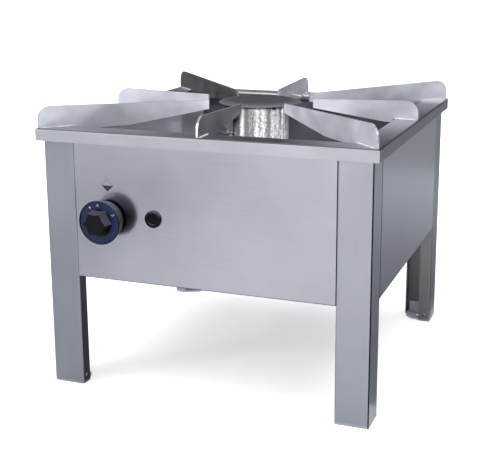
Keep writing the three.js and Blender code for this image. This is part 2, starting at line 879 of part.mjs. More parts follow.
// The skirt is a deep cup, open towards the panel, with a raised rim round the dial's seat.
function knobSkirtGeometry() {
  const rim = knobReach;
  const seat = dialFace - dialThickness - clearance;
  const bore = spindleRadius + clearance;
  const hub = bore + knobHubWall;
  return turnedRing([
    [knobBackRadius - knobWall, knobBack],
    [knobBackRadius, knobBack],
    [knobRadius, rim - knobEdge],
    [knobRadius - knobEdge * 0.3, rim - knobEdge * 0.3],
    [knobRadius - knobEdge, rim],
    [dialOuterRadius + clearance, rim],
    [dialOuterRadius + clearance, seat],
    [bore, seat],
    [bore, seat - knobHubLength],
    [hub, seat - knobHubLength],
    [hub, seat - knobWall],
    [knobRadius - knobWall, seat - knobWall],
  ]);
}

function dialGeometry() {
  return turnedRing([
    [dialInnerRadius, dialFace - dialThickness],
    [dialOuterRadius, dialFace - dialThickness],
    [dialOuterRadius, dialFace],
    [dialInnerRadius, dialFace],
  ]);
}

// One ring of the grip: a hexagon with a flat on top, whose sides are scooped hollow.
function gripRing(height, radius, hollow, bound = radius) {
  const stepsPerSide = 6;
  const points = [];
  for (let side = 0; side < gripSides; side++) {
    const from = new THREE.Vector3(radius, 0, 0).applyAxisAngle(UP, (side * TURN) / gripSides);
    const to = from.clone().applyAxisAngle(UP, TURN / gripSides);
    for (let step = 0; step < stepsPerSide; step++) {
      const share = step / stepsPerSide;
      const point = from.clone().lerp(to, share);
      const scooped = point.length() - hollow * 4 * share * (1 - share);
      points.push(point.setLength(Math.min(scooped, bound)).setZ(height));
    }
  }
  return points;
}

// It stands through the dial's ring, so its foot is trimmed round to fit inside.
function gripGeometry() {
  const low = dialFace - dialThickness;
  const shoulder = dialFace + clearance;
  const foot = dialInnerRadius - clearance;
  return loft([
    gripRing(low, gripRadius, gripHollow, foot),
    gripRing(shoulder, gripRadius, gripHollow, foot),
    gripRing(shoulder + gripFaceEdge / 2, gripRadius, gripHollow),
    gripRing(gripFace - gripFaceEdge, gripFaceRadius, gripFaceHollow),
    gripRing(gripFace, gripFaceRadius - gripFaceEdge, gripFaceHollow),
  ]);
}

// A closed skin through a stack of rings with equal numbers of points, capped at both ends.
function loft(rings) {
  const count = rings[0].length;
  const positions = rings.flat().flatMap((p) => [p.x, p.y, p.z]);
  positions.push(0, 0, rings[0][0].z, 0, 0, rings[rings.length - 1][0].z);
  const bottom = rings.length * count;
  const top = bottom + 1;
  const index = [];
  for (let i = 0; i < count; i++) {
    const next = (i + 1) % count;
    for (let ring = 0; ring < rings.length - 1; ring++) {
      const a = ring * count;
      const b = a + count;
      index.push(a + i, a + next, b + next, a + i, b + next, b + i);
    }
    const last = (rings.length - 1) * count;
    index.push(bottom, next, i, top, last + i, last + next);
  }
  const geometry = new THREE.BufferGeometry();
  geometry.setAttribute("position", new THREE.Float32BufferAttribute(positions, 3));
  geometry.setIndex(index);
  return geometry;
}

place("knob_skirt", facingFront(knobSkirtGeometry()), blackPlastic, tapPlace);
place("knob_dial", facingFront(dialGeometry()), dialBlue, tapPlace);
place("knob_grip", facingFront(gripGeometry()), blackPlastic, tapPlace);

// ---------------------------------------------------------------- igniter

function igniterBodyGeometry() {
  const back = -igniterBarrelLength;
  const bore = buttonRadius + buttonFit;
  const boreEnd = igniterBezelDepth - buttonRecess - buttonLength - buttonTravel - clearance;
  const turnedBody = turned(
    [
      [0, back - igniterTerminalLength],
      [igniterTerminalRadius, back - igniterTerminalLength],
      [igniterTerminalRadius, back],
      [igniterBarrelRadius, back],
      [igniterBarrelRadius, clearance],
      [igniterBezelRadius, clearance],
      [igniterBezelRadius, igniterBezelDepth * 0.55],
      [igniterBezelRadius - 2.5, igniterBezelDepth],
      [0, igniterBezelDepth],
    ],
    32,
  );
  return cut(turnedBody, rod(bore, boreEnd, igniterBezelDepth + past, 24));
}

function buttonGeometry() {
  const face = igniterBezelDepth - buttonRecess;
  return turned(
    [
      [0, face - buttonLength],
      [buttonRadius, face - buttonLength],
      [buttonRadius, face - buttonDish],
      [buttonRadius - buttonDish, face],
      [buttonRadius * 0.55, face - buttonDish * 0.6],
      [0, face - buttonDish],
    ],
    24,
  );
}

const igniterPlace = { at: [igniterX, panelFrontY, igniterZ] };
const igniterNutBack = -sheet - clearance - igniterNutThickness;
const igniterNutGeometry = nut(
  igniterNutRadius,
  igniterBarrelRadius + clearance,
  igniterNutBack,
  igniterNutBack + igniterNutThickness,
);
place("igniter_body", facingFront(igniterBodyGeometry()), blackPlastic, igniterPlace);
place("igniter_nut", facingFront(igniterNutGeometry), zinc, igniterPlace);
place("igniter_button", facingFront(buttonGeometry()), blackPlastic, igniterPlace);

// ---------------------------------------------------------------- supply pipe and inlet

// A straight threaded nipple through the rear panel, with a shoulder inside and a nut outside.
function inletGeometry() {
  const seat = -sheet - clearance;
  return cut(
    join(rod(inletRadius, -inletSocket, inletReach, 24), rod(inletNutRadius, seat - inletShoulder, seat, 24)),
    rod(inletBore, -inletSocket + inletSocketEnd, inletReach + past, 16),
  );
}

const inletPlace = { at: [inletX, bodyY, tapZ], turn: Math.PI };
const inletNut = nut(inletNutRadius, inletRadius + clearance, clearance, clearance + inletNutThickness);
const supplyEndX = tapX - tapRadius - tapPortReach - clearance;
const supplyRoute = [
  [inletX, bodyY - inletSocket - clearance, tapZ],
  [inletX, panelFrontY + tapBackLength / 2, tapZ],
  [supplyEndX, panelFrontY + tapBackLength / 2, tapZ],
];
place("gas_inlet", facingFront(inletGeometry()), brass, inletPlace);
place("inlet_nut", facingFront(inletNut), zinc, inletPlace);
place("supply_pipe", pipe(supplyRoute, pipeRadius, supplyEndX - inletX - 1), steelPipe);
place("feed_pipe", pipe(feedPipeRoute(), feedRadius), copper);

// ---------------------------------------------------------------- pilot, flame sensor and electrode

function around(angle, radius = pilotRadius) {
  return [radius * Math.cos(radians(angle)), radius * Math.sin(radians(angle))];
}

// A part ring between two angles, from one height to another.
function ringSector(inner, outer, from, to, low, high) {
  const steps = 14;
  const points = [];
  for (let i = 0; i <= steps; i++) points.push(around(from + ((to - from) * i) / steps, outer));
  for (let i = steps; i >= 0; i--) points.push(around(from + ((to - from) * i) / steps, inner));
  return extruded(outline(points), low, high);
}

// A ledge on the drum's side with a curved draught shield standing on it.
function pilotBracketGeometry() {
  const inner = drumRadius + clearance;
  const floor = [pilotFloorZ - pilotSheet, pilotFloorZ];
  const solid = join(
    ringSector(inner, pilotLedgeRadius, pilotShieldFrom, pilotShieldTo, ...floor),
    ringSector(
      pilotShieldRadius,
      pilotShieldRadius + pilotSheet,
      pilotShieldFrom,
      pilotShieldTo,
      pilotFloorZ - pilotSheet / 2,
      pilotFloorZ + pilotShieldHeight,
    ),
  );
  const hole = (angle, radius) => {
    const [x, y] = around(angle);
    return rod(radius + clearance, floor[0] - past, floor[1] + past).translate(x, y, 0);
  };
  return cut(
    solid,
    hole(sensorAngle, sensorRadius),
    hole(pilotAngle, pilotTubeRadius),
    hole(electrodeAngle, ceramicRadius),
  );
}

const pilotTipZ = drumRimZ - pilotTipBelowCap;
const pilotFootZ = pilotFloorZ - pilotFoot;

function pilotBurnerGeometry() {
  return turned(
    [
      [0, pilotFootZ],
      [pilotTubeRadius, pilotFootZ],
      [pilotTubeRadius, pilotTipZ - pilotNozzle - tipStep],
      [pilotTubeRadius + tipStep, pilotTipZ - pilotNozzle],
      [pilotTubeRadius + tipStep, pilotTipZ - tipStep],
      [pilotTubeRadius - tipStep, pilotTipZ],
      [0, pilotTipZ],
    ],
    16,
  );
}

function sensorGeometry() {
  return turned(
    [
      [0, pilotFootZ],
      [sensorRadius, pilotFootZ],
      [sensorRadius, pilotTipZ - sensorTip - tipStep],
      [sensorRadius - tipStep, pilotTipZ - sensorTip],
      [sensorRadius - tipStep, pilotTipZ - tipStep],
      [0, pilotTipZ],
    ],
    16,
  );
}

function ceramicGeometry() {
  const top = pilotFloorZ + ceramicTop;
  return turned(
    [
      [0, pilotFootZ],
      [ceramicRadius, pilotFootZ],
      [ceramicRadius, top - ceramicTaper],
      [ceramicRadius - tipStep, top],
      [0, top],
    ],
    16,
  );
}

function sparkWireGeometry() {
  return rod(wireRadius, pilotFloorZ + ceramicTop + clearance, pilotTipZ - wireTipDrop, 8);
}

function standing(angle) {
  return { at: [...around(angle), 0] };
}

place("pilot_bracket", pilotBracketGeometry(), polished);
place("pilot_burner", pilotBurnerGeometry(), brass, standing(pilotAngle));
place("flame_sensor", sensorGeometry(), copper, standing(sensorAngle));
place("spark_insulator", ceramicGeometry(), ceramic, standing(electrodeAngle));
place("spark_wire", sparkWireGeometry(), polished, standing(electrodeAngle));

// The three lines that run from the front panel to the feet of the pilot, sensor and insulator.

function pilotLineRoute(angle, start) {
  const [x, y] = around(angle);
  const end = pilotFootZ - clearance;
  return [
    start,
    [start[0], start[1] + lineStart, start[2]],
    [x, -crossbarWidth / 2 - lineTurn, end - lineDip],
    [x, y, end - lineDip],
    [x, y, end],
  ];
}

const tapPort = (dx) => [tapX + dx, tapBackY + clearance, tapZ + linePortRise];
const igniterEndY = panelFrontY + igniterBarrelLength + igniterTerminalLength + clearance;
const lines = {
  sensor_lead: [pilotLineRoute(sensorAngle, tapPort(-linePortSpread)), copper],
  pilot_pipe: [pilotLineRoute(pilotAngle, tapPort(linePortSpread)), steelPipe],
  ignition_lead: [pilotLineRoute(electrodeAngle, [igniterX, igniterEndY, igniterZ]), redSilicone],
};
for (const [name, [route, material]] of Object.entries(lines)) {
  place(name, pipe(route, lineRadius, lineCorner, 8), material);
}

// ---------------------------------------------------------------- the part's own frame

// The origin is under the middle of the whole object, which stands on z = 0.
range.position.y = -(panelFrontY - gripFace + inletEndY) / 2;

export default range;
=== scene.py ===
# %% [markdown]
# # A stock pot range in stainless steel
# A stock pot range is a low, strong gas burner for very large pots. A square stand is folded from
# stainless sheet, eight plates carry the pot, and one capped burner sits in the middle. The CAD
# model gives every piece its true place and size, so this lesson starts from it, and adds what the
# eye looks for: how each metal was rolled, brushed, cast or turned, and the small welded, riveted,
# moulded and printed pieces.

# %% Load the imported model
import math

import bmesh
import bpy
from mathutils import Matrix, Vector, noise


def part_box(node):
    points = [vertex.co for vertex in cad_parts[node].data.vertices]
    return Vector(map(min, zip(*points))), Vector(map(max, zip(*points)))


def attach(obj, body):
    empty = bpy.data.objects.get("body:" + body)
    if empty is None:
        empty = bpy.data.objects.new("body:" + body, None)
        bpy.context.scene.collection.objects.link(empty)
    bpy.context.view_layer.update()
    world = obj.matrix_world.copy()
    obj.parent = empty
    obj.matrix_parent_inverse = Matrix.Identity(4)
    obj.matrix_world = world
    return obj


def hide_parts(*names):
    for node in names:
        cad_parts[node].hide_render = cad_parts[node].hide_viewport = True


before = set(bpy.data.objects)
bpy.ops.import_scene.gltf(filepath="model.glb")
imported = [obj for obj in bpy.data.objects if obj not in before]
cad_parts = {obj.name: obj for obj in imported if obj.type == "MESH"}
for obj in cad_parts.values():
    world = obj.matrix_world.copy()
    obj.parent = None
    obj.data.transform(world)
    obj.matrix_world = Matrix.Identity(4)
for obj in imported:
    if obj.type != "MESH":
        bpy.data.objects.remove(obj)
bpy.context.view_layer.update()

# %% [markdown]
# ## Places that everything else is measured from
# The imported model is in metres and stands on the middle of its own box. A drawing of sheet metal
# is in millimetres, so one factor turns millimetres into metres. The box of a CAD node gives the
# burner's axis, the knob's axis and the top of the frame, with no number typed twice.

# %% Main places
MM = 0.001
rim_low, rim_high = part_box("top_frame")
stand_centre_y = (rim_low.y + rim_high.y) / 2
frame_top = rim_high.z
knob_low, knob_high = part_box("knob_skirt")
knob_x = (knob_low.x + knob_high.x) / 2
knob_z = (knob_low.z + knob_high.z) / 2
panel_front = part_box("front_panel")[0].y
main_places = (stand_centre_y, frame_top, panel_front)
print("stand centre y %.4f, frame top %.4f, panel front %.4f" % main_places)

# %% [markdown]
# ## The camera
# The picture was taken from a little to the right of the front and from above, with a lens long
# enough to keep the legs almost parallel. The camera's place and direction were found by fitting
# the stand's corners, so they are written down as numbers here. Its three directions make the
# columns of a rotation matrix, which is less easy to get wrong than three angles.

# %% Camera at the picture's angle
CAMERA_PLACE = (637.1, -1751.4, 282.7)  # from the middle of the frame's top, mm
CAMERA_YAW, CAMERA_PITCH, CAMERA_ROLL = (math.radians(a) for a in (20.601, -12.807, -0.273))
FOCAL_PIXELS = 1002.0
IMAGE_WIDTH, IMAGE_HEIGHT = 500, 464
AXIS_ROW = 185  # the picture row that the lens looks at straight

camera_data = bpy.data.cameras.new("camera")
camera = bpy.data.objects.new("camera", camera_data)
bpy.context.scene.collection.objects.link(camera)
bpy.context.scene.camera = camera

ahead = Vector((
    -math.sin(CAMERA_YAW) * math.cos(CAMERA_PITCH),
    math.cos(CAMERA_YAW) * math.cos(CAMERA_PITCH),
    math.sin(CAMERA_PITCH),
))
level_right = Vector((math.cos(CAMERA_YAW), math.sin(CAMERA_YAW), 0))
level_up = level_right.cross(ahead)
right = level_right * math.cos(CAMERA_ROLL) + level_up * math.sin(CAMERA_ROLL)
up = level_up * math.cos(CAMERA_ROLL) - level_right * math.sin(CAMERA_ROLL)
place = Vector(CAMERA_PLACE) * MM + Vector((0, stand_centre_y, frame_top))
camera.matrix_world = Matrix((
    (right.x, up.x, -ahead.x, place.x),
    (right.y, up.y, -ahead.y, place.y),
    (right.z, up.z, -ahead.z, place.z),
    (0, 0, 0, 1),
))
camera_data.sensor_width = 36
camera_data.lens = camera_data.sensor_width * FOCAL_PIXELS / IMAGE_WIDTH
camera_data.shift_y = (AXIS_ROW - IMAGE_HEIGHT / 2) / IMAGE_WIDTH
print("lens %.1f mm, shift %.3f" % (camera_data.lens, camera_data.shift_y))

# %% [markdown]
# ## Colours and nodes
# A colour picked from a screen is an sRGB hex value, and Blender's shaders work in linear light,
# so one function turns the first into the second. Another adds a node, sets it and links it in one
# line, which keeps each material short enough to read from top to bottom. Some sockets share a
# name, so they are picked by number. On a Mix node 0 is the share, 2 and 3 are the two numbers, 6
# and 7 the two colours, and output 2 is the mixed colour. On a Map Range node 0 is the value, 1 and
# 2 are the ends of its old range, and 3 and 4 the ends of the new one.

# %% Colours
def linear(hex_colour):
    """An sRGB hex colour in the linear light that shaders work in."""
    values = [int(hex_colour[i : i + 2], 16) / 255 for i in (1, 3, 5)]
    return (*[v / 12.92 if v <= 0.04045 else ((v + 0.055) / 1.055) ** 2.4 for v in values], 1)


print("mid grey", [round(v, 3) for v in linear("#808080")])

# %% Nodes and finishes
def add_node(tree, kind, inputs=None, **settings):
    """Adds a shader node, sets it, and fills its sockets with values or with links."""
    node = tree.nodes.new("ShaderNode" + kind)
    for name, value in settings.items():
        setattr(node, name, value)
    for socket, value in (inputs or {}).items():
        if isinstance(value, bpy.types.NodeSocket):
            tree.links.new(value, node.inputs[socket])
        else:
            node.inputs[socket].default_value = value
    return node


def new_finish(name):
    """A material that holds one Principled shader, with its node tree and that shader."""
    material = bpy.data.materials.new(name)
    material.use_nodes = True
    tree = material.node_tree
    tree.nodes.clear()
    shader = add_node(tree, "BsdfPrincipled")
    add_node(tree, "OutputMaterial", {"Surface": shader.outputs[0]})
    return material, tree, shader


def colour_socket(material):
    """The socket that a finished material takes its base colour through."""
    shader = next(node for node in material.node_tree.nodes if node.type == "BSDF_PRINCIPLED")
    return shader.inputs["Base Color"]


print("materials so far", len(bpy.data.materials))

# %% [markdown]
# ## The floor
# A piece of bare metal has hardly any colour of its own: it shows the room. So the studio is built
# before the metals. The floor is a wide sheet of white paper. Paper under soft lamps renders light
# grey, so it also glows a little, but only for rays that come from the camera. The background then
# looks white, the object keeps its shadow, and no more light falls on the object.

# %% White floor
def flat_sheet(name, corners, colour):
    """A four-cornered sheet of matt paper, which belongs to the studio and not to the object."""
    mesh = bpy.data.meshes.new(name)
    mesh.from_pydata(corners, [], [(0, 1, 2, 3)])
    sheet = bpy.data.objects.new(name, mesh)
    bpy.context.scene.collection.objects.link(sheet)
    material, tree, shader = new_finish(name + "_matt_paper")
    shader.inputs["Base Color"].default_value = linear(colour)
    shader.inputs["Roughness"].default_value = 0.9
    shader.inputs["Specular IOR Level"].default_value = 0.1
    mesh.materials.append(material)
    return sheet


FLOOR_HALF = 14  # metres
FLOOR_GLOW = 0.42  # seen by the camera alone
floor_corners = [(x * FLOOR_HALF, y * FLOOR_HALF, 0) for x, y in ((-1, -1), (1, -1), (1, 1), (-1, 1))]
floor = flat_sheet("floor", floor_corners, "#FCFCFC")

floor_tree = floor.data.materials[0].node_tree
camera_ray = add_node(floor_tree, "LightPath").outputs["Is Camera Ray"]
glow = add_node(floor_tree, "Math", {0: camera_ray, 1: FLOOR_GLOW}, operation="MULTIPLY")
floor_shader = colour_socket(floor.data.materials[0]).node
floor_shader.inputs["Emission Color"].default_value = linear("#FFFFFF")
floor_tree.links.new(glow.outputs[0], floor_shader.inputs["Emission Strength"])
print("floor %d m wide" % (2 * FLOOR_HALF))

# %% [markdown]
# ## The world
# The world is white where the camera sees it and in glossy and clear surfaces, so that the steel
# looks pale. As a source of light it is a cooler light grey, which keeps the object at a plain
# level. The Light Path node tells these rays apart.

# %% World
WORLD_SEEN, WORLD_LIGHT = "#FFFFFF", "#BFC1C6"
world = bpy.data.worlds.new("studio")
bpy.context.scene.world = world
world.use_nodes = True
sky = world.node_tree
sky.nodes.clear()
rays = add_node(sky, "LightPath").outputs
shiny = add_node(
    sky, "Math", {0: rays["Is Glossy Ray"], 1: rays["Is Transmission Ray"]}, operation="MAXIMUM"
)
seen = add_node(sky, "Math", {0: rays["Is Camera Ray"], 1: shiny.outputs[0]}, operation="MAXIMUM")
sky_tones = {0: seen.outputs[0], 6: linear(WORLD_LIGHT), 7: linear(WORLD_SEEN)}
sky_tone = add_node(sky, "Mix", sky_tones, data_type="RGBA")
backdrop = add_node(sky, "Background", {"Color": sky_tone.outputs[2], "Strength": 1.0})
add_node(sky, "OutputWorld", {"Surface": backdrop.outputs[0]})
print("world nodes", len(sky.nodes))

# %% [markdown]
# ## Soft lights
# Four suns light the stand from the front left, the front right, above and low on the left. Three
# are 50 to 60 degrees wide, like large soft boxes, so that no face gets a hard edge of light. The
# fourth is narrow and weak, and only puts a glint on rounded edges. A sun reaches all faces alike,
# so two small round lamps do the rest: one brightens the drum, which stands deep in the frame, and
# one the side of the knob that looks left and down.

# %% Lamps
def spot_lamp(name, place, target, watts, cone, size):
    """A round lamp at a place, aimed at a target, both in metres; the cone is in degrees."""
    data = bpy.data.lights.new(name, "SPOT")
    data.energy = watts
    data.spot_size = math.radians(cone)
    data.spot_blend = 1.0
    data.shadow_soft_size = size
    lamp = bpy.data.objects.new(name, data)
    lamp.location = place
    lamp.rotation_mode = "QUATERNION"
    lamp.rotation_quaternion = (Vector(place) - Vector(target)).to_track_quat("Z", "Y")
    bpy.context.scene.collection.objects.link(lamp)


def soft_sun(name, direction, strength, spread):
    """A sun that shines from a direction, as wide across as the spread in degrees."""
    data = bpy.data.lights.new(name, "SUN")
    data.energy = strength
    data.angle = math.radians(spread)
    sun = bpy.data.objects.new(name, data)
    sun.rotation_mode = "QUATERNION"
    sun.rotation_quaternion = Vector(direction).normalized().to_track_quat("Z", "Y")
    bpy.context.scene.collection.objects.link(sun)


soft_sun("key_light", (-0.55, -0.75, 1.0), 1.0, 50)
soft_sun("fill_light", (0.9, -0.8, 0.75), 0.6, 60)
soft_sun("top_light", (0.1, 0.1, 1.0), 1.1, 60)
soft_sun("glint_light", (-0.75, -0.75, 0.55), 0.3, 5)
burner_middle = Vector((0, stand_centre_y, frame_top - 45 * MM))
spot_lamp("burner_light", burner_middle + Vector((0.5, -1.4, 0.46)), burner_middle, 150, 15, 0.12)
knob_middle = Vector((knob_x, panel_front, knob_z))
spot_lamp("low_left_light", (-1.25, -1.5, 0.1), knob_middle, 2.0, 14, 0.08)

# %% [markdown]
# ## Grey cards for the reflections
# Studios shape bare metal with cards that stand out of sight. Here pale paper on the floor
# brightens the front panel, and darker cards at the right, behind, at the left and above give the
# other faces their greys. The cards are seen only in reflections. Two of them change tone slowly
# from one side to the other, because an even card would make an even panel, and real sheet steel
# never looks even.

# %% Cards that only reflections show
CARD_HEIGHT = 0.004  # just above the floor, metres


def reflection_card(name, corners, colour):
    """A sheet of paper that shows in glossy surfaces and nowhere else."""
    card = flat_sheet(name, corners, colour)
    card.visible_camera = False
    card.visible_diffuse = False
    card.visible_shadow = False
    card.visible_transmission = False
    return card


def level_card(name, low, high, colour, height=CARD_HEIGHT):
    """A level card between two corners (x, y), in metres."""
    x0, y0 = low
    x1, y1 = high
    corners = [(x0, y0, height), (x1, y0, height), (x1, y1, height), (x0, y1, height)]
    return reflection_card(name, corners, colour)


print("cards lie %.0f mm above the floor" % (CARD_HEIGHT / MM))

# %% Shading a card
def shade_card(card, direction, start, end, start_tone, end_tone):
    """Multiplies the card's tone by one that runs between two greys along a direction, in metres."""
    tree = card.data.materials[0].node_tree
    colour = colour_socket(card.data.materials[0])
    position = add_node(tree, "TexCoord").outputs["Object"]
    along = add_node(tree, "VectorMath", {0: position, 1: direction}, operation="DOT_PRODUCT")
    span = {0: along.outputs["Value"], 1: start, 2: end, 3: 0.0, 4: 1.0}
    share = add_node(tree, "MapRange", span, interpolation_type="SMOOTHSTEP")
    tones = {0: share.outputs[0], 6: linear(start_tone), 7: linear(end_tone)}
    tone = add_node(tree, "Mix", tones, data_type="RGBA")
    before = colour.links[0].from_socket if colour.is_linked else tuple(colour.default_value)
    layers = {0: 1.0, 6: before, 7: tone.outputs[2]}
    both = add_node(tree, "Mix", layers, data_type="RGBA", blend_type="MULTIPLY")
    tree.links.new(both.outputs[2], colour)


card_front = level_card("card_front", (-3.0, -2.6), (1.6, -0.275), "#FFFFFF")
shade_card(card_front, (1, -0.1, 0), -0.8, -0.1, "#B9BAC0", "#F0F0F4")  # across the front panel
# Painted shade: the card is darker near the stand's feet.
shade_card(card_front, (0, -1, 0), 0.3, 0.95, "#E8E9EC", "#FFFFFF")  # near the feet
card_right = level_card("card_right", (0.3, -0.2), (2.6, 1.75), "#FFFFFF")
shade_card(card_right, (0, 1, 0), 0.3, 1.7, "#80828A", "#B3B6BB")
print("shaded", card_front.name, card_right.name)

# %% The other cards
level_card("card_right_far", (0.3, 1.75), (4.0, 5.0), "#8F9195")
# Painted shade: a dark card under the stand stands for the shaded floor there.
level_card("card_under_painted_shade", (-0.3, -0.27), (0.29, 0.36), "#5C5A5C")
level_card("card_left_far", (-3.6, 0.2), (-1.0, 2.8), "#4A4A4C")
level_card("card_above", (-2.5, -2.5), (2.5, 2.5), "#8A8C92", 3.2)


def upright_card(name, start, end, low, high, colour):
    """An upright card that stands on the line between two points (x, y), in metres."""
    corners = [(*start, low), (*end, low), (*end, high), (*start, high)]
    return reflection_card(name, corners, colour)


upright_card("card_behind", (-6, 5), (3.2, 5), 0.05, 4, "#3A3C42")
upright_card("card_side", (2.4, -2.4), (2.4, 0.1), 0.0, 1.6, "#33353B")
upright_card("card_left", (-3.0, -0.2), (-2.2, 3.6), 0.0, 1.8, "#3A3C42")

# %% [markdown]
# ## Patterns of a real size
# Each pattern is a noise that is stretched to a size in millimetres: a scratch is long one way and
# narrow the other two, and a cloud is a hand's breadth each way. Noise mostly stays near its
# middle value, so it is spread over the range that a finish needs. Two more helpers find where a
# point lies from the burner's axis, and lay a tone over part of a finish, such as painted light or
# painted shade.

# %% Noise of a real size
NOISE_LOW, NOISE_HIGH = 0.3, 0.7  # nearly all of a noise lies between these


def stretched_noise(tree, position, size, detail=2.0):
    """Noise whose spots have the given size in millimetres along X, Y and Z."""
    per_metre = tuple(1 / (s * MM) for s in size)
    scaled = add_node(tree, "VectorMath", {0: position, 1: per_metre}, operation="MULTIPLY")
    spots = add_node(tree, "TexNoise", {"Vector": scaled.outputs[0], "Scale": 1.0, "Detail": detail})
    return spots.outputs["Fac"]


def spread_over(tree, spots, low, high):
    """A number that runs from low to high with a noise."""
    span = add_node(tree, "MapRange", {0: spots, 1: NOISE_LOW, 2: NOISE_HIGH, 3: low, 4: high})
    return span.outputs[0]


def between_tones(tree, spots, dark, light, low=0.0, high=1.0):
    """A colour that runs from dark to light with a noise; a wider range clips more of it."""
    tones = {0: spread_over(tree, spots, low, high), 6: dark, 7: light}
    return add_node(tree, "Mix", tones, data_type="RGBA").outputs[2]


print("noise is spread from", NOISE_LOW, "to", NOISE_HIGH)

# %% Places and laid tones
def from_axis(tree, position):
    """The level vector from the burner's axis to a point, in metres."""
    level = add_node(tree, "VectorMath", {0: position, 1: (1, 1, 0)}, operation="MULTIPLY")
    axis = {0: level.outputs[0], 1: (0, stand_centre_y, 0)}
    return add_node(tree, "VectorMath", axis, operation="SUBTRACT").outputs[0]


def lay_tone(material, share, tone):
    """Blends a finish's colour towards a tone, by a share from 0 to 1 that a socket gives."""
    tree = material.node_tree
    colour = colour_socket(material)
    tones = {0: share, 6: colour.links[0].from_socket, 7: linear(tone)}
    tree.links.new(add_node(tree, "Mix", tones, data_type="RGBA").outputs[2], colour)


print("burner's axis at y %.4f" % stand_centre_y)

# %% [markdown]
# ## Brushed stainless sheet
# The legs, panels and tray are austenitic stainless steel sheet, ground at the mill with a belt of
# about 240 grit. The belt leaves fine parallel scratches, so the sheet has a soft, slightly milky
# shine that is calmer than polish. Real scratches are about 0.05 mm apart, too fine for this
# picture, so they are drawn about 2 mm apart and very faint. A slow cloudiness, a hand's breadth
# across, stands for how the sheet was rolled and handled. The side that looks towards the burner
# isn't ground, and keeps the dull skin that the mill gave it. A metal takes its colour from the
# base colour and keeps the default IOR. A photograph of scratches could be laid on the sheet, but
# stretched noise needs no picture and shows no seams.

# %% Tone of brushed sheet
MILL_SIDE, MILL_ROUGHNESS = "#A3A4AA", 0.42
CLOUD_SIZE, CLOUD_DEPTH = 110, 0.05  # mm, and share of the tone
GRAIN_DEPTH = 0.02


def inner_side(tree, position):
    """1 on faces that look towards the burner's axis, where the sheet keeps its mill side."""
    normal = add_node(tree, "NewGeometry").outputs["True Normal"]
    outward = add_node(
        tree, "VectorMath", {0: normal, 1: from_axis(tree, position)}, operation="DOT_PRODUCT"
    )
    turned_in = {0: outward.outputs["Value"], 1: -0.02}  # metres towards the axis
    return add_node(tree, "Math", turned_in, operation="LESS_THAN").outputs[0]


def brushed_tone(tree, hex_colour, cloud, scratches):
    """The sheet's grey, with clouds that darken and lighten it and scratches laid over them."""
    colour = linear(hex_colour)[:3]
    darker = (*[c * (1 - CLOUD_DEPTH) for c in colour], 1)
    lighter = (*[c * (1 + CLOUD_DEPTH) for c in colour], 1)
    clouded = between_tones(tree, cloud, darker, lighter)
    layers = {0: GRAIN_DEPTH, 6: clouded, 7: spread_over(tree, scratches, 0.0, 1.0)}
    return add_node(tree, "Mix", layers, data_type="RGBA", blend_type="OVERLAY").outputs[2]


print("clouds %d mm across" % CLOUD_SIZE)

# %% Brushed sheet
def brushed_stainless(name, hex_colour, grain, roughness, mill=MILL_SIDE, mill_metal=0.75):
    """Ground sheet whose scratches run along the longest of the three grain sizes."""
    material, tree, shader = new_finish(name)
    position = add_node(tree, "TexCoord").outputs["Object"]
    scratches = stretched_noise(tree, position, grain)
    cloud = stretched_noise(tree, position, (CLOUD_SIZE, CLOUD_SIZE, CLOUD_SIZE), 3.0)
    tree.links.new(brushed_tone(tree, hex_colour, cloud, scratches), shader.inputs["Base Color"])
    dull = inner_side(tree, position)
    # The inner side's tone: the mill skin, and on some copies painted light or painted shade.
    lay_tone(material, dull, mill)
    metal = add_node(tree, "MapRange", {0: dull, 1: 0.0, 2: 1.0, 3: 1.0, 4: mill_metal})
    tree.links.new(metal.outputs[0], shader.inputs["Metallic"])
    rough_cloud = spread_over(tree, cloud, roughness * 0.9, roughness * 1.1)
    rough_grain = spread_over(tree, scratches, 0.98, 1.02)
    ground = add_node(tree, "Math", {0: rough_cloud, 1: rough_grain}, operation="MULTIPLY")
    rough = add_node(tree, "Mix", {0: dull, 2: ground.outputs[0], 3: MILL_ROUGHNESS}, data_type="FLOAT")
    tree.links.new(rough.outputs[0], shader.inputs["Roughness"])
    return material


print("mill side", MILL_SIDE, "roughness", MILL_ROUGHNESS)

# %% [markdown]
# ## One kind of sheet, several greys
# Each piece of the stand has its own grey, and its inner side is paler or darker: these are lit
# and shaded copies of one sheet, with painted light and painted shade. One grey for all would look
# like plastic. One function makes them, so they stay one family. The front panel is ground finest,
# and it is smooth enough to mirror the knob as a dark smear, which coarser sheet would scatter. The
# legs are brushed upright and the panels level, each along its length.

# %% Panel and tray sheet
ALONG, ACROSS = 120, 2.2  # length of a scratch and distance to the next, mm
LEVEL, UPRIGHT = (ALONG, ALONG, ACROSS), (ACROSS, ACROSS, ALONG)
PANEL_TONE = "#B3B4BA"
# Soft mirror: pale and even, with dim shapes in it.
front_sheet = brushed_stainless("stainless_sheet_ground_fine", PANEL_TONE, LEVEL, 0.19)
# The usual sheet: a broad soft shine that follows the light.
panel_sheet = brushed_stainless("stainless_sheet_brushed_across", PANEL_TONE, LEVEL, 0.24)
# Painted light: a pale inner side, so the stand looks light inside.
left_sheet = brushed_stainless(
    "stainless_sheet_brushed_across_painted_light_inside", PANEL_TONE, LEVEL, 0.32, "#DCDDE5", 0.4
)
# Painted shade: a dark inner side, so the stand stays dim behind the burner.
rear_sheet = brushed_stainless(
    "stainless_sheet_brushed_across_painted_shade_inside", PANEL_TONE, LEVEL, 0.32, "#6C6E78", 0.75
)
# Brushed from front to rear, so its shine runs the way the tray slides.
tray_sheet = brushed_stainless(
    "stainless_tray_brushed_lengthwise", "#B4B6BC", (ACROSS, ALONG, ACROSS), 0.33
)
print("scratch spacing", ACROSS, "mm")

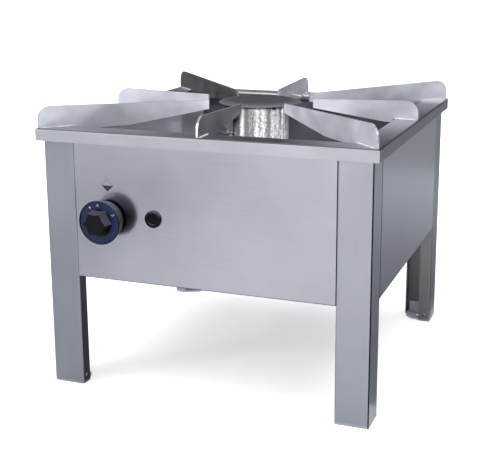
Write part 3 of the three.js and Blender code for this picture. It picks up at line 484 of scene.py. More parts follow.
# %% Leg sheet
LEG_TONE, LEG_ROUGHNESS = "#999CA2", 0.34
# Darker than the panels, with painted light on its pale inner side.
leg_sheet = brushed_stainless(
    "stainless_sheet_brushed_upright", LEG_TONE, UPRIGHT, LEG_ROUGHNESS, "#C6C7CE", 0.5
)
# The same sheet with painted shade on its dark inner side, so the leg looks hollow.
shaded_leg_sheet = brushed_stainless(
    "stainless_sheet_brushed_upright_shaded", LEG_TONE, UPRIGHT, LEG_ROUGHNESS, "#606065"
)
# Painted light: a little paler than its neighbours.
pale_leg_sheet = brushed_stainless(
    "stainless_sheet_brushed_upright_painted_light", "#AAACB2", UPRIGHT, LEG_ROUGHNESS
)
# Painted shade: a little darker than its neighbours, and a warmer grey inside.
dark_leg_sheet = brushed_stainless(
    "stainless_sheet_brushed_upright_painted_shade", "#96979C", UPRIGHT, LEG_ROUGHNESS, "#9A9798"
)
print("leg sheets", sum("brushed_upright" in m.name for m in bpy.data.materials))

# %% [markdown]
# ## The top frame
# The frame is folded from four strips that meet at mitred corners, and each strip is brushed along
# its own length. The grain is chosen by comparing the distances to the two middle planes: where a
# point is further out in Y than in X it lies on the front or rear strip. Faces that look sideways
# and the strips' tops get painted shade, a greyer tone, and the top at the rear gets a painted
# highlight, pale almost to white. Four finishes would be simpler, but the frame is one solid, so
# one finish tells its strips apart by their place.

# %% Grain and tones of the four strips
REAR_STRIP = (0.2, 0.25)  # where the rear strip begins, metres behind the axis
FACING_UP = (0.15, 0.4)  # cosines between which a face begins to count as a top


def strip_grain(tree, position, spoke):
    """Scratches along X on the front and rear strips, and along Y on the two side strips."""
    out_x = add_node(tree, "Math", {0: spoke.outputs[0]}, operation="ABSOLUTE")
    out_y = add_node(tree, "Math", {0: spoke.outputs[1]}, operation="ABSOLUTE")
    further_in_y = {0: out_y.outputs[0], 1: out_x.outputs[0]}
    is_front = add_node(tree, "Math", further_in_y, operation="GREATER_THAN")
    grain_x = stretched_noise(tree, position, (ALONG, ACROSS, ACROSS))
    grain_y = stretched_noise(tree, position, (ACROSS, ALONG, ACROSS))
    strips = {0: is_front.outputs[0], 2: grain_y, 3: grain_x}
    return add_node(tree, "Mix", strips, data_type="FLOAT").outputs[0]


def strip_top_tone(tree, spoke):
    """Painted shade on the strips' tops, which turns to a painted highlight on the rear strip."""
    start, end = REAR_STRIP
    at_rear = add_node(tree, "MapRange", {0: spoke.outputs[1], 1: start, 2: end, 3: 0.0, 4: 1.0})
    tones = {0: at_rear.outputs[0], 6: linear("#94959C"), 7: linear("#FFFFFF")}
    return add_node(tree, "Mix", tones, data_type="RGBA").outputs[2]


print("rear strip begins %.0f mm behind the axis" % (REAR_STRIP[0] / MM))

# %% Top frame finish
def frame_finish():
    """Folded stainless strip, brushed lengthwise: an even grey with a soft long highlight, with painted
    shade on its sides and tops and a painted highlight on the rear top.
    """
    material, tree, shader = new_finish("stainless_frame_brushed_round")
    position = add_node(tree, "TexCoord").outputs["Object"]
    spoke = add_node(tree, "SeparateXYZ", {0: from_axis(tree, position)})
    cloud = stretched_noise(tree, position, (80, 80, 80), 3.0)
    strip_tone = between_tones(tree, cloud, linear("#B2B3B9"), linear("#BFC0C6"))
    tree.links.new(strip_tone, shader.inputs["Base Color"])
    normal = add_node(tree, "NewGeometry").outputs["True Normal"]
    facing = add_node(tree, "SeparateXYZ", {0: normal}).outputs
    # Painted shade: faces that look sideways, left and right, are darker.
    sideways = add_node(tree, "Math", {0: facing[0]}, operation="ABSOLUTE")
    lay_tone(material, sideways.outputs[0], "#76757F")
    # Painted shade on the tops, which turns to a painted highlight on the rear top.
    start, end = FACING_UP
    on_top = add_node(tree, "MapRange", {0: facing[2], 1: start, 2: end, 3: 0.0, 4: 1.0})
    sides = shader.inputs["Base Color"].links[0].from_socket
    tones = {0: on_top.outputs[0], 6: sides, 7: strip_top_tone(tree, spoke)}
    tint = add_node(tree, "Mix", tones, data_type="RGBA")
    tree.links.new(tint.outputs[2], shader.inputs["Base Color"])
    shader.inputs["Metallic"].default_value = 1.0
    grain = strip_grain(tree, position, spoke)
    tree.links.new(spread_over(tree, grain, 0.27, 0.31), shader.inputs["Roughness"])
    relief = add_node(tree, "Bump", {"Height": grain, "Strength": 0.06, "Distance": 0.02 * MM})
    tree.links.new(relief.outputs[0], shader.inputs["Normal"])
    return material


frame_steel = frame_finish()
print("frame finish", frame_steel.name)

# %% [markdown]
# ## The pan supports
# These are cut from 4 mm stainless plate. Their flat sides keep the dull, slightly blotchy skin of
# thick hot-rolled and pickled plate, and their 4 mm edges are ground bright. The plates stand like
# the spokes of a wheel, so a face whose normal points along its spoke, or up, is an edge. The
# specks on a ground edge are about 0.3 mm in life and are drawn 2.6 mm across, so that they show.
# The edges could be picked out by hand, but a rule about directions also holds when a size changes.

# %% Edges of the spokes
EDGE_BELOW = 0.6  # cosine from the flat side's direction; a face below it is an edge


def spoke_edge(tree, position):
    """1 on the ground edges of a plate that stands like a spoke, and 0 on its flat sides."""
    split = add_node(tree, "SeparateXYZ", {0: from_axis(tree, position)})
    turned_x = add_node(tree, "Math", {0: split.outputs[1], 1: -1.0}, operation="MULTIPLY")
    sideways = add_node(tree, "CombineXYZ", {0: turned_x.outputs[0], 1: split.outputs[0]})
    side = add_node(tree, "VectorMath", {0: sideways.outputs[0]}, operation="NORMALIZE")
    normal = add_node(tree, "NewGeometry").outputs["True Normal"]
    facing = add_node(tree, "VectorMath", {0: normal, 1: side.outputs[0]}, operation="DOT_PRODUCT")
    flatness = add_node(tree, "Math", {0: facing.outputs["Value"]}, operation="ABSOLUTE")
    compared = {0: flatness.outputs[0], 1: EDGE_BELOW}
    return add_node(tree, "Math", compared, operation="LESS_THAN").outputs[0]


BLOTCHES = (45, 45, 30)  # mm
GRIT, SPECKS = (2.2, 2.2, 2.2), (2.6, 2.6, 4.0)  # mm
print("blotches", BLOTCHES, "mm")

# %% Pan support finishes
def support_finish(name, dark, light, metallic):
    """Thick plate with a pickled skin on its flat sides and bright ground edges."""
    material, tree, shader = new_finish(name)
    position = add_node(tree, "TexCoord").outputs["Object"]
    is_edge = spoke_edge(tree, position)
    blotches = stretched_noise(tree, position, BLOTCHES, 4.0)
    specks = stretched_noise(tree, position, SPECKS, 3.0)
    skin = between_tones(tree, blotches, linear(dark), linear(light))
    ground = between_tones(tree, specks, linear("#B9BAC0"), linear("#FFFFFF"))
    tint = add_node(tree, "Mix", {0: is_edge, 6: skin, 7: ground}, data_type="RGBA")
    tree.links.new(tint.outputs[2], shader.inputs["Base Color"])
    shader.inputs["Metallic"].default_value = metallic
    skin_rough = spread_over(tree, blotches, 0.36, 0.5)
    rough = add_node(tree, "Mix", {0: is_edge, 2: skin_rough, 3: 0.3}, data_type="FLOAT")
    tree.links.new(rough.outputs[0], shader.inputs["Roughness"])
    grit = stretched_noise(tree, position, GRIT)
    relief = add_node(tree, "Bump", {"Height": grit, "Strength": 0.15, "Distance": 0.04 * MM})
    tree.links.new(relief.outputs[0], shader.inputs["Normal"])
    return material


# Painted light: a pale, satin skin that is almost white.
support_plate = support_finish("stainless_plate_pickled_painted_light", "#D9DAE6", "#EEEFF8", 0.7)
# Painted shade: the same plate in a dark grey.
dark_plate = support_finish("stainless_plate_painted_shade", "#7D7C7E", "#929194", 0.9)
# Between the two, a light grey: a lighter painted shade.
rear_plate = support_finish("stainless_plate_painted_half_shade", "#AEAFB8", "#CDCED7", 0.8)
print("support finishes", support_plate.name, dark_plate.name, rear_plate.name)

# %% [markdown]
# ## Plated, cast, turned and drawn metals
# The small parts are made in other ways, and each way leaves its own surface. Zinc plating is
# bluish and even. Sand-cast iron has a fine pebbled skin. Turned brass shows rings and a warm
# shine, and drawn tube is smooth with a slight stain. One function serves them all, because they
# differ only in colour, shine, the size of their spots and how deep these are. The spots are from
# 0.1 to 1 mm in life, and all of them are drawn 1 mm or more across, so that they show.

# %% One function for small metals
STAIN_SPOTS = 9  # a stain is this many spots across


def metal_finish(name, dark, light, roughness, spot, depth, metallic=1.0):
    """A metal whose spots have the given size and depth in millimetres, with wider stains."""
    material, tree, shader = new_finish(name)
    position = add_node(tree, "TexCoord").outputs["Object"]
    stain = spot * STAIN_SPOTS
    stains = stretched_noise(tree, position, (stain, stain, stain), 3.0)
    tint = between_tones(tree, stains, linear(dark), linear(light))
    tree.links.new(tint, shader.inputs["Base Color"])
    shader.inputs["Metallic"].default_value = metallic
    rough = spread_over(tree, stains, roughness * 0.85, roughness * 1.15)
    tree.links.new(rough, shader.inputs["Roughness"])
    spots = stretched_noise(tree, position, (spot, spot, spot), 4.0)
    relief = add_node(tree, "Bump", {"Height": spots, "Strength": 0.4, "Distance": depth * MM})
    tree.links.new(relief.outputs[0], shader.inputs["Normal"])
    return material


print("stains are", STAIN_SPOTS, "spots across")

# %% Small metal finishes
# Plated in a bath: even, cool and slightly bluish.
zinc_plate = metal_finish("zinc_plated_steel", "#9DA2A9", "#B3B8BF", 0.34, 4.0, 0.02)
# Painted reflection of the white floor: a pale satin that scatters more light than sheet does.
foot_steel = metal_finish("stainless_foot_plate", "#CFCEDC", "#EFEEFA", 0.36, 3.0, 0.02, 0.2)
# Cast in sand: dark, pebbled and only half shiny.
cast_iron = metal_finish("cast_iron_sand_cast", "#424145", "#57575D", 0.5, 1.6, 0.07, 0.85)
# Cast iron under a dull oxide skin, nearly black.
cap_iron = metal_finish("cast_iron_painted_rim_highlight", "#2E2D31", "#36353A", 0.7, 1.6, 0.07, 0.15)
# Turned on a lathe: warm yellow with a tight shine.
turned_brass = metal_finish("brass_turned", "#B09650", "#CDB36A", 0.28, 2.0, 0.01)
# Drawn through a die: smooth and reddish, a little stained.
drawn_copper = metal_finish("copper_tube_drawn", "#9C5F3E", "#BE8158", 0.3, 2.5, 0.01)
# Drawn steel: smooth and neutral.
drawn_steel = metal_finish("steel_tube_drawn", "#84888E", "#A0A4AA", 0.32, 2.5, 0.01)
# Molten, then frozen: bright, rippled and glassy.
weld_metal = metal_finish("stainless_weld_bead", "#D9DBE2", "#FFFFFF", 0.22, 1.2, 0.12, 0.6)
# Dipped in molten aluminium: silvery white with a fine crinkle.
pilot_sheet = metal_finish("aluminised_pilot_sheet", "#B9BABD", "#E2E3E6", 0.24, 3.0, 0.08)
print("small metals from", zinc_plate.name, "to", pilot_sheet.name)

# %% [markdown]
# ## A painted highlight on the cap's rim
# The cap's rim gets a painted highlight, a lighter grey than the middle. The distance from the
# burner's axis gives the share of the lighter tone at once, and the change is a ring.

# %% Painted highlight on the rim
RUB_START = 0.72  # share of the cap's radius
cap_low, cap_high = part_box("burner_cap")
cap_reach = (cap_high.x - cap_low.x) / 2


def rub_rim(material, start, end, worn):
    """Paints a highlight: lightens a metal with the distance from the burner's axis, in metres."""
    tree = material.node_tree
    position = add_node(tree, "TexCoord").outputs["Object"]
    spoke = from_axis(tree, position)
    away = add_node(tree, "VectorMath", {0: spoke}, operation="LENGTH").outputs["Value"]
    share = add_node(tree, "MapRange", {0: away, 1: start, 2: end, 3: 0.0, 4: 1.0})
    lay_tone(material, share.outputs[0], worn)


rub_rim(cap_iron, RUB_START * cap_reach, cap_reach, "#56565C")
print("rubbed from %.0f to %.0f mm" % (RUB_START * cap_reach / MM, cap_reach / MM))

# %% [markdown]
# ## The burner's rolled drum
# The drum is thin bright sheet, rolled up and welded down one side, and the flame keeps it hot.
# It is not quite round, so it throws upright streaks of light and shade, and its surface is
# crinkled and spotted. Long upright noise makes the streaks and short noise the crinkle, and both
# push the normal, which is what breaks up the reflection. Both are also painted into the colour,
# from dark grey to white, as painted highlights and painted shade. Near the rim the heat has left
# it browner.

# %% Tone of the drum
drum_low, drum_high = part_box("burner_drum")
STREAKS, CRINKLE = (15, 15, 200), (2.4, 2.4, 5.0)  # mm
STREAK_DEPTH, CRINKLE_DEPTH = 3.0 * MM, 1.1 * MM
CRINKLE_SHARE = 0.32  # of the crinkle in the mottled tone; the rest is streaks
STAIN_BAND = 55 * MM  # below the rim


def drum_tone(tree, position, streaks, crinkle):
    """Bright sheet with painted streaks of light and shade, stained brown towards the rim."""
    noises = {0: CRINKLE_SHARE, 2: streaks, 3: crinkle}
    mottled = add_node(tree, "Mix", noises, data_type="FLOAT").outputs[0]
    # Painted highlights and painted shade: the streaks run from dark grey to white.
    bright = between_tones(tree, mottled, linear("#7E7D80"), linear("#FFFFFF"), -0.8, 1.6)
    height = add_node(tree, "SeparateXYZ", {0: position}).outputs[2]
    band = {0: height, 1: drum_high.z - STAIN_BAND, 2: drum_high.z, 3: 0.0, 4: 0.5}
    near_rim = add_node(tree, "MapRange", band)
    patchy = {0: near_rim.outputs[0], 1: spread_over(tree, crinkle, -0.6, 1.0)}
    stained = add_node(tree, "Math", patchy, operation="MULTIPLY", use_clamp=True)
    tones = {0: stained.outputs[0], 6: bright, 7: linear("#736E69")}
    return add_node(tree, "Mix", tones, data_type="RGBA").outputs[2]


print("drum from %.0f to %.0f mm" % (drum_low.z / MM, drum_high.z / MM))

# %% Drum finish
def drum_finish():
    """Thin sheet that was rolled up and heated: bright, streaked and crinkled."""
    material, tree, shader = new_finish("bright_sheet_rolled_and_heated")
    position = add_node(tree, "TexCoord").outputs["Object"]
    streaks = stretched_noise(tree, position, STREAKS, 1.0)
    crinkle = stretched_noise(tree, position, CRINKLE, 3.0)
    tree.links.new(drum_tone(tree, position, streaks, crinkle), shader.inputs["Base Color"])
    shader.inputs["Metallic"].default_value = 0.3
    tree.links.new(spread_over(tree, crinkle, 0.14, 0.3), shader.inputs["Roughness"])
    broad = add_node(tree, "Bump", {"Height": streaks, "Strength": 1.0, "Distance": STREAK_DEPTH})
    fine = {"Height": crinkle, "Strength": 0.8, "Distance": CRINKLE_DEPTH}
    relief = add_node(tree, "Bump", {**fine, "Normal": broad.outputs[0]})
    tree.links.new(relief.outputs[0], shader.inputs["Normal"])
    return material


drum_sheet = drum_finish()
print("drum finish", drum_sheet.name)

# %% [markdown]
# ## Moulded plastic, print, glaze and rubber
# The knob and igniter are moulded from black phenolic, which is hard and fairly glossy, with a
# faint orange-peel skin. The dial is a printed navy ring under clear lacquer. The spark electrode
# sits in glazed white ceramic, and its lead has a soft silicone sheath. All of them are
# dielectrics, with an IOR near 1.5. The peel of a moulded skin is about 0.3 mm across, and is drawn
# 0.8 mm or more across, so that it shows.

# %% One function for what is not metal
PATCH_PEELS = 14  # a patch of slightly different tone is this many peel spots across


def moulded_finish(name, dark, light, roughness, spot, depth, coat=0.0, specular=0.5):
    """A dielectric whose peel spots have the given size and depth in millimetres."""
    material, tree, shader = new_finish(name)
    position = add_node(tree, "TexCoord").outputs["Object"]
    patch = spot * PATCH_PEELS
    patches = stretched_noise(tree, position, (patch, patch, patch), 2.0)
    tint = between_tones(tree, patches, linear(dark), linear(light))
    tree.links.new(tint, shader.inputs["Base Color"])
    shader.inputs["IOR"].default_value = 1.5
    shader.inputs["Specular IOR Level"].default_value = specular
    shader.inputs["Coat Weight"].default_value = coat
    shader.inputs["Coat Roughness"].default_value = 0.12
    rough = spread_over(tree, patches, roughness * 0.9, roughness * 1.1)
    tree.links.new(rough, shader.inputs["Roughness"])
    peel = stretched_noise(tree, position, (spot, spot, spot), 2.0)
    relief = add_node(tree, "Bump", {"Height": peel, "Strength": 0.3, "Distance": depth * MM})
    tree.links.new(relief.outputs[0], shader.inputs["Normal"])
    return material


print("patches are", PATCH_PEELS, "peel spots across")

# %% Plastic, ceramic and rubber
# Fresh from the mould: black with a soft sheen.
black_phenolic = moulded_finish(
    "black_phenolic_moulded", "#060608", "#0D0D10", 0.34, 0.9, 0.02, specular=0.12
)
# Rubbed by fingers: a duller and warmer sheen.
grip_phenolic = moulded_finish(
    "black_phenolic_worn_grip_painted_light", "#0A090A", "#121012", 0.42, 0.9, 0.02, specular=0.12
)
# Polished by a thumb: the blackest, with a small sharp highlight.
gloss_phenolic = moulded_finish(
    "black_phenolic_glossy", "#030304", "#08080A", 0.16, 1.1, 0.02, specular=0.1
)
# Glazed and fired: warm white under a clear glass coat.
white_glaze = moulded_finish("white_ceramic_glazed", "#DDD8CC", "#EFEBE2", 0.22, 1.6, 0.01, 0.4)
# Extruded rubber: matt, with no highlight to speak of.
red_silicone = moulded_finish("red_silicone_extruded", "#7A261F", "#96352C", 0.55, 0.8, 0.02)
print("moulded", black_phenolic.name, grip_phenolic.name, gloss_phenolic.name)

# %% Print
# Navy ink under lacquer: dark and even, with a satin shine.
dial_print = moulded_finish(
    "navy_dial_print_lacquered", "#10193A", "#16244C", 0.45, 1.4, 0.01, specular=0.3
)
# Pale ink on it, and the same ink where fingers have thinned it.
mark_print = moulded_finish("pale_dial_marks_print", "#9FA9C9", "#B4BCD6", 0.5, 1.0, 0.005)
faint_print = moulded_finish("worn_dial_mark_print", "#42518F", "#4D5C99", 0.5, 1.0, 0.005)
# Black and grey ink straight on the steel: flat and matt beside the metal.
dark_print = moulded_finish("black_index_print", "#1B1D22", "#24272E", 0.55, 1.0, 0.005)
grey_print = moulded_finish("grey_index_print", "#6D7078", "#7B7E86", 0.55, 1.0, 0.005)
print("prints", sum(m.name.endswith(("print", "lacquered")) for m in bpy.data.materials))

# %% [markdown]
# ## Painted light on the black plastic
# Faces that look towards the light are greyed with painted light: on the skirt and the igniter's
# bezel that is the upper side, and on the grip the upper right shoulder. A face is greyed by how
# far it looks the same way as a chosen direction, so the painted light runs smoothly round a
# curved side.

# %% Painted light on the phenolic
def worn_towards(material, direction, start, end, worn):
    """Paints light: greys the faces that look along a direction, from one cosine of the angle to
    another.
    """
    tree = material.node_tree
    normal = add_node(tree, "NewGeometry").outputs["Normal"]
    facing = add_node(tree, "VectorMath", {0: normal, 1: direction}, operation="DOT_PRODUCT")
    share = add_node(tree, "MapRange", {0: facing.outputs["Value"], 1: start, 2: end, 3: 0.0, 4: 1.0})
    lay_tone(material, share.outputs[0], worn)


# Painted light on the upper side of the skirt and the igniter's bezel.
worn_towards(black_phenolic, (0, 0, 1), 0.1, 1.0, "#5E6178")
# Painted light on the grip's upper right shoulder.
worn_towards(grip_phenolic, (0.6, 0, 0.8), 0.2, 0.6, "#4A4853")
print("worn", black_phenolic.name, grip_phenolic.name)

# %% [markdown]
# ## Dressing the CAD nodes
# A node whose shape is right keeps its mesh and gets its finish. The table reads like a parts
# list: a finish, then the nodes that are made of it. A line for each node would do the same, but
# the table is easier to check, and the printed count shows whether a node was forgotten.

# %% Finishes on the carried-over nodes
CORNERS = ("front_left", "front_right", "rear_right", "rear_left")
FINISH_OF = {
    frame_steel: ["top_frame"],
    support_plate: [
        "pan_support_left", "pan_support_right", "pan_support_front_left", "pan_support_front_right",
        "pan_support_rear_right",
    ],
    rear_plate: ["pan_support_rear"],
    dark_plate: ["pan_support_front", "pan_support_rear_left"],
    leg_sheet: ["leg_rear_left"],
    shaded_leg_sheet: ["leg_front_left"],
    dark_leg_sheet: ["leg_rear_right"],
    pale_leg_sheet: ["leg_front_right"],
    foot_steel: ["foot_plate_" + corner for corner in CORNERS],
    front_sheet: ["front_panel"],
    panel_sheet: ["right_panel"],
    left_sheet: ["left_panel"],
    rear_sheet: ["rear_panel"],
    tray_sheet: ["drip_tray"],
    zinc_plate: [
        "tray_runner_left", "tray_runner_right", "burner_crossbar", "burner_base", "injector_bracket",
        "tap_nut", "tap_plunger", "tap_spindle", "igniter_nut", "inlet_nut",
    ],
    cast_iron: ["mixing_tube"],
    cap_iron: ["burner_cap"],
    drum_sheet: ["burner_drum"],
    pilot_sheet: ["pilot_bracket"],
    turned_brass: ["injector", "gas_tap_body", "gas_inlet", "pilot_burner"],
    drawn_copper: ["feed_pipe", "flame_sensor", "sensor_lead"],
    drawn_steel: ["supply_pipe", "spark_wire", "pilot_pipe"],
    black_phenolic: ["knob_skirt", "knob_grip", "igniter_body", "igniter_button"],
    dial_print: ["knob_dial"],
    white_glaze: ["spark_insulator"],
    red_silicone: ["ignition_lead"],
}
print("finishes on CAD nodes", len(FINISH_OF))

# %% Dressing them
for finish, nodes in FINISH_OF.items():
    for node in nodes:
        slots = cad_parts[node].data.materials
        slots.clear()
        slots.append(finish)
dressed = sum(len(nodes) for nodes in FINISH_OF.values())
print("dressed", dressed, "of", len(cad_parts), "nodes")

# %% [markdown]
# ## Painted shade along a sharp bend
# The leg that stands nearest is folded so sharply that its bend shows as a thin dark line of shade.
# The CAD model has the fold, but a bend this tight is narrower than a pixel, so the shade is painted
# on, about 2 mm wide. It is a tone on the sheet, found by the distance from one upright plane.

# %% Painted shade along the bend
BEND_HALF_WIDTH = 1.1 * MM


def bend_line(material, centre, half_width, tone):
    """Painted shade: a dark upright line at one X, in metres, where the sheet turns round a sharp bend.
    """
    tree = material.node_tree
    position = add_node(tree, "TexCoord").outputs["Object"]
    x = add_node(tree, "SeparateXYZ", {0: position}).outputs[0]
    off = add_node(tree, "Math", {0: x, 1: centre}, operation="SUBTRACT")
    near = add_node(tree, "Math", {0: off.outputs[0]}, operation="ABSOLUTE")
    span = {0: near.outputs[0], 1: half_width, 2: half_width * 0.7, 3: 0.0, 4: 1.0}
    share = add_node(tree, "MapRange", span)
    lay_tone(material, share.outputs[0], tone)


bend_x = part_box("leg_front_right")[1].x - BEND_HALF_WIDTH
bend_line(pale_leg_sheet, bend_x, BEND_HALF_WIDTH, "#1E1F22")
print("bend line at x %.1f mm" % (bend_x / MM))

# %% [markdown]
# ## Shapes in code
# Most fine pieces here are turned, like work from a lathe: a profile is drawn as pairs of radius
# and height in millimetres and swept round an axis. Others are built row by row, and both kinds
# are a grid of points whose neighbours are joined by four-sided faces. So one function makes the
# faces of any grid, open or closed either way.

# %% Grids and turned shapes
def grid_faces(rows, columns, wrap_columns=False, wrap_rows=False):
    """Four-sided faces between neighbouring points of a grid that is stored column by column."""
    faces = []
    for column in range(columns if wrap_columns else columns - 1):
        after = (column + 1) % columns
        for row in range(rows if wrap_rows else rows - 1):
            above = (row + 1) % rows
            faces.append(
                (column * rows + row, after * rows + row, after * rows + above, column * rows + above)
            )
    return faces


def turned(profile, steps=96, closed=False):
    """Points and faces of a profile of (radius, height) swept about the Z axis."""
    points = []
    for step in range(steps):
        angle = math.tau * step / steps
        points += [(r * math.cos(angle), r * math.sin(angle), h) for r, h in profile]
    return points, grid_faces(len(profile), steps, wrap_columns=True, wrap_rows=closed)


def rounded_corner(centre, radius, start, stop, steps=5):
    """Points of an arc in a profile; the angles are in degrees from the outward direction."""
    angles = [math.radians(start + (stop - start) * i / steps) for i in range(steps + 1)]
    return [(centre[0] + radius * math.cos(a), centre[1] + radius * math.sin(a)) for a in angles]


ring_faces = turned([(1, 0), (2, 0), (2, 1), (1, 1)], 96, True)[1]
print("a turned ring of 96 steps has", len(ring_faces), "faces")

# %% [markdown]
# ## From a shape to a piece
# A shape is only points and faces, so shapes can be moved and joined before they become an object.
# One function then makes the object in metres, gives it its finish, and lets it ride on the body
# that it belongs to. Edges sharper than 30 degrees stay crisp, and flatter ones are shaded smooth.

# %% Moving and joining shapes
def joined(*shapes):
    """Several shapes as one."""
    points, faces = [], []
    for more_points, more_faces in shapes:
        start = len(points)
        points += [tuple(p) for p in more_points]
        faces += [tuple(i + start for i in face) for face in more_faces]
    return points, faces


def moved(shape, matrix):
    """A shape carried to another place by a matrix."""
    points, faces = shape
    return [tuple(matrix @ Vector(p)) for p in points], faces


def facing_front(x, z, front=panel_front):
    """Seat for a piece made along +Z, so that it stands out of the front panel at x and z."""
    return Matrix.Translation((x, front, z)) @ Matrix.Rotation(math.radians(90), 4, "X")


print("a seat on the panel lies at y %.4f" % facing_front(0, 0).translation.y)

# %% Making a piece
def make_piece(name, shape, finish, body, seat=None, crease=30):
    """A piece from points and faces in millimetres, put in place by the seat matrix, in metres."""
    points, faces = shape
    mesh = bpy.data.meshes.new(name)
    mesh.from_pydata([Vector(p) * MM for p in points], [], faces)
    build = bmesh.new()
    build.from_mesh(mesh)
    bmesh.ops.remove_doubles(build, verts=build.verts, dist=0.002 * MM)
    bmesh.ops.recalc_face_normals(build, faces=build.faces)
    if seat is not None:
        build.transform(seat)
    build.to_mesh(mesh)
    build.free()
    mesh.shade_smooth()
    mesh.set_sharp_from_angle(angle=math.radians(crease))
    mesh.materials.append(finish)
    piece = bpy.data.objects.new(name, mesh)
    bpy.context.scene.collection.objects.link(piece)
    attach(piece, body)
    return piece


# %% [markdown]
# ## The knob
# A push-and-turn gas knob is one deep moulded cup. Its side narrows slightly towards the panel, so
# that it leaves the mould, and a round lip protects the printed dial. A hub inside grips the tap's
# spindle. A cylinder with bevels would be quick, but a turned profile holds the wall, the lip and
# the hub in one short list. Its places come from the boxes of the CAD nodes, so the finer cup
# stands exactly where the plain one stood.

# %% Sizes of the knob
knob_radius = (knob_high.x - knob_low.x) / 2 / MM
knob_reach = (panel_front - knob_low.y) / MM
knob_back = (panel_front - knob_high.y) / MM
KNOB_BACK_RADIUS = 31.5
KNOB_WALL, KNOB_LIP = 3.0, 1.5
KNOB_BORE, KNOB_HUB, KNOB_HUB_LENGTH = 4.3, 9.3, 12
FIT = 0.3  # between pieces that rest on each other, mm
dial_low, dial_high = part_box("knob_dial")
dial_radius = (dial_high.x - dial_low.x) / 2 / MM
dial_face = (panel_front - dial_low.y) / MM
dial_seat = (panel_front - dial_high.y) / MM - FIT
knob_seat = facing_front(knob_x, knob_z)
print("knob %.0f mm across, %.1f mm deep" % (2 * knob_radius, knob_reach - knob_back))

# %% Knob skirt
def skirt_side(steps=14):
    """The skirt's outside: it swells quickly at first, then runs almost straight to the lip."""
    low, high = knob_back + 1.0, knob_reach - KNOB_LIP
    growth = knob_radius - KNOB_BACK_RADIUS
    shares = [i / steps for i in range(steps + 1)]
    return [(KNOB_BACK_RADIUS + growth * share**0.8, low + (high - low) * share) for share in shares]


skirt_profile = [
    (KNOB_BACK_RADIUS - KNOB_WALL, knob_back),
    (KNOB_BACK_RADIUS - 0.8, knob_back),
    *skirt_side(),
    *rounded_corner((knob_radius - KNOB_LIP, knob_reach - KNOB_LIP), KNOB_LIP, 20, 90, 4),
    (dial_radius + 0.5, knob_reach),
    (dial_radius + FIT, knob_reach - 0.3),
    (dial_radius + FIT, dial_seat),
    (KNOB_BORE, dial_seat),
    (KNOB_BORE, dial_seat - KNOB_HUB_LENGTH),
    (KNOB_HUB, dial_seat - KNOB_HUB_LENGTH),
    (KNOB_HUB, dial_seat - KNOB_WALL),
    (knob_radius - KNOB_WALL - 1.5, dial_seat - KNOB_WALL),
]
skirt_shape = turned(skirt_profile, 120, True)
knob_skirt = make_piece(
    "knob_skirt_moulded", skirt_shape, black_phenolic, "knob", knob_seat
)
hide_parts("knob_skirt")
print("skirt faces", len(knob_skirt.data.polygons))

# %% [markdown]
# ## The dial and its marks
# The dial is a thin printed ring that snaps into the cup. Its marks are generic: a dot for off, a
# small triangle for the pilot, a tick for the large flame and a short bar for the small one. Print
# is only a few hundredths of a millimetre thick, and it is made 0.06 mm proud of the ring so that
# it doesn't flicker with it. A picture could carry the marks too, but small patches stay sharp at
# any distance.

# %% Dial ring
DIAL_INNER, DIAL_EDGE = 23.0, 0.25
dial_back = dial_seat + FIT
dial_profile = [
    (DIAL_INNER, dial_back),
    (dial_radius, dial_back),
    (dial_radius, dial_face - DIAL_EDGE),
    (dial_radius - DIAL_EDGE, dial_face),
    (DIAL_INNER + DIAL_EDGE, dial_face),
    (DIAL_INNER, dial_face - DIAL_EDGE),
]
knob_dial = make_piece(
    "knob_dial_printed", turned(dial_profile, 120, True), dial_print, "knob", knob_seat
)
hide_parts("knob_dial")
print("dial %.0f mm across" % (2 * dial_radius))

# %% Helpers for printed marks
PRINT = 0.06
MARK_RADIUS = 30.0


def printed_patch(outline, low, high):
    """A thin flat patch from a closed outline of (x, y) points, run anticlockwise."""
    count = len(outline)
    points = [(x, y, low) for x, y in outline] + [(x, y, high) for x, y in outline]
    faces = [tuple(range(count, 2 * count)), tuple(reversed(range(count)))]
    faces += [(i, (i + 1) % count, count + (i + 1) % count, count + i) for i in range(count)]
    return points, faces


def stroke(start, end, width):
    """Outline of a straight stroke between two points."""
    along = (Vector(end) - Vector(start)).normalized() * width / 2
    aside = Vector((-along.y, along.x))
    a, b = Vector(start) - along, Vector(end) + along
    return [tuple(a - aside), tuple(b - aside), tuple(b + aside), tuple(a + aside)]


def dial_mark(outlines, angle):
    """Marks drawn upright round (0, 0), moved onto the dial at an angle from the right."""
    turn = math.radians(angle)
    middle = (MARK_RADIUS * math.cos(turn), MARK_RADIUS * math.sin(turn), 0)
    shapes = [printed_patch(o, dial_face - 0.02, dial_face + PRINT) for o in outlines]
    return moved(joined(*shapes), Matrix.Translation(middle))


print("marks lie %.0f mm from the knob's axis" % MARK_RADIUS)

# %% [markdown]
# ## The four marks
# Each mark is drawn upright round its own middle and then carried to its place on the dial. It
# could be turned on the way, but a small sign is easier to read upright. Three are printed in pale
# ink, and the fourth, low on the right where a thumb rubs, is nearly gone.

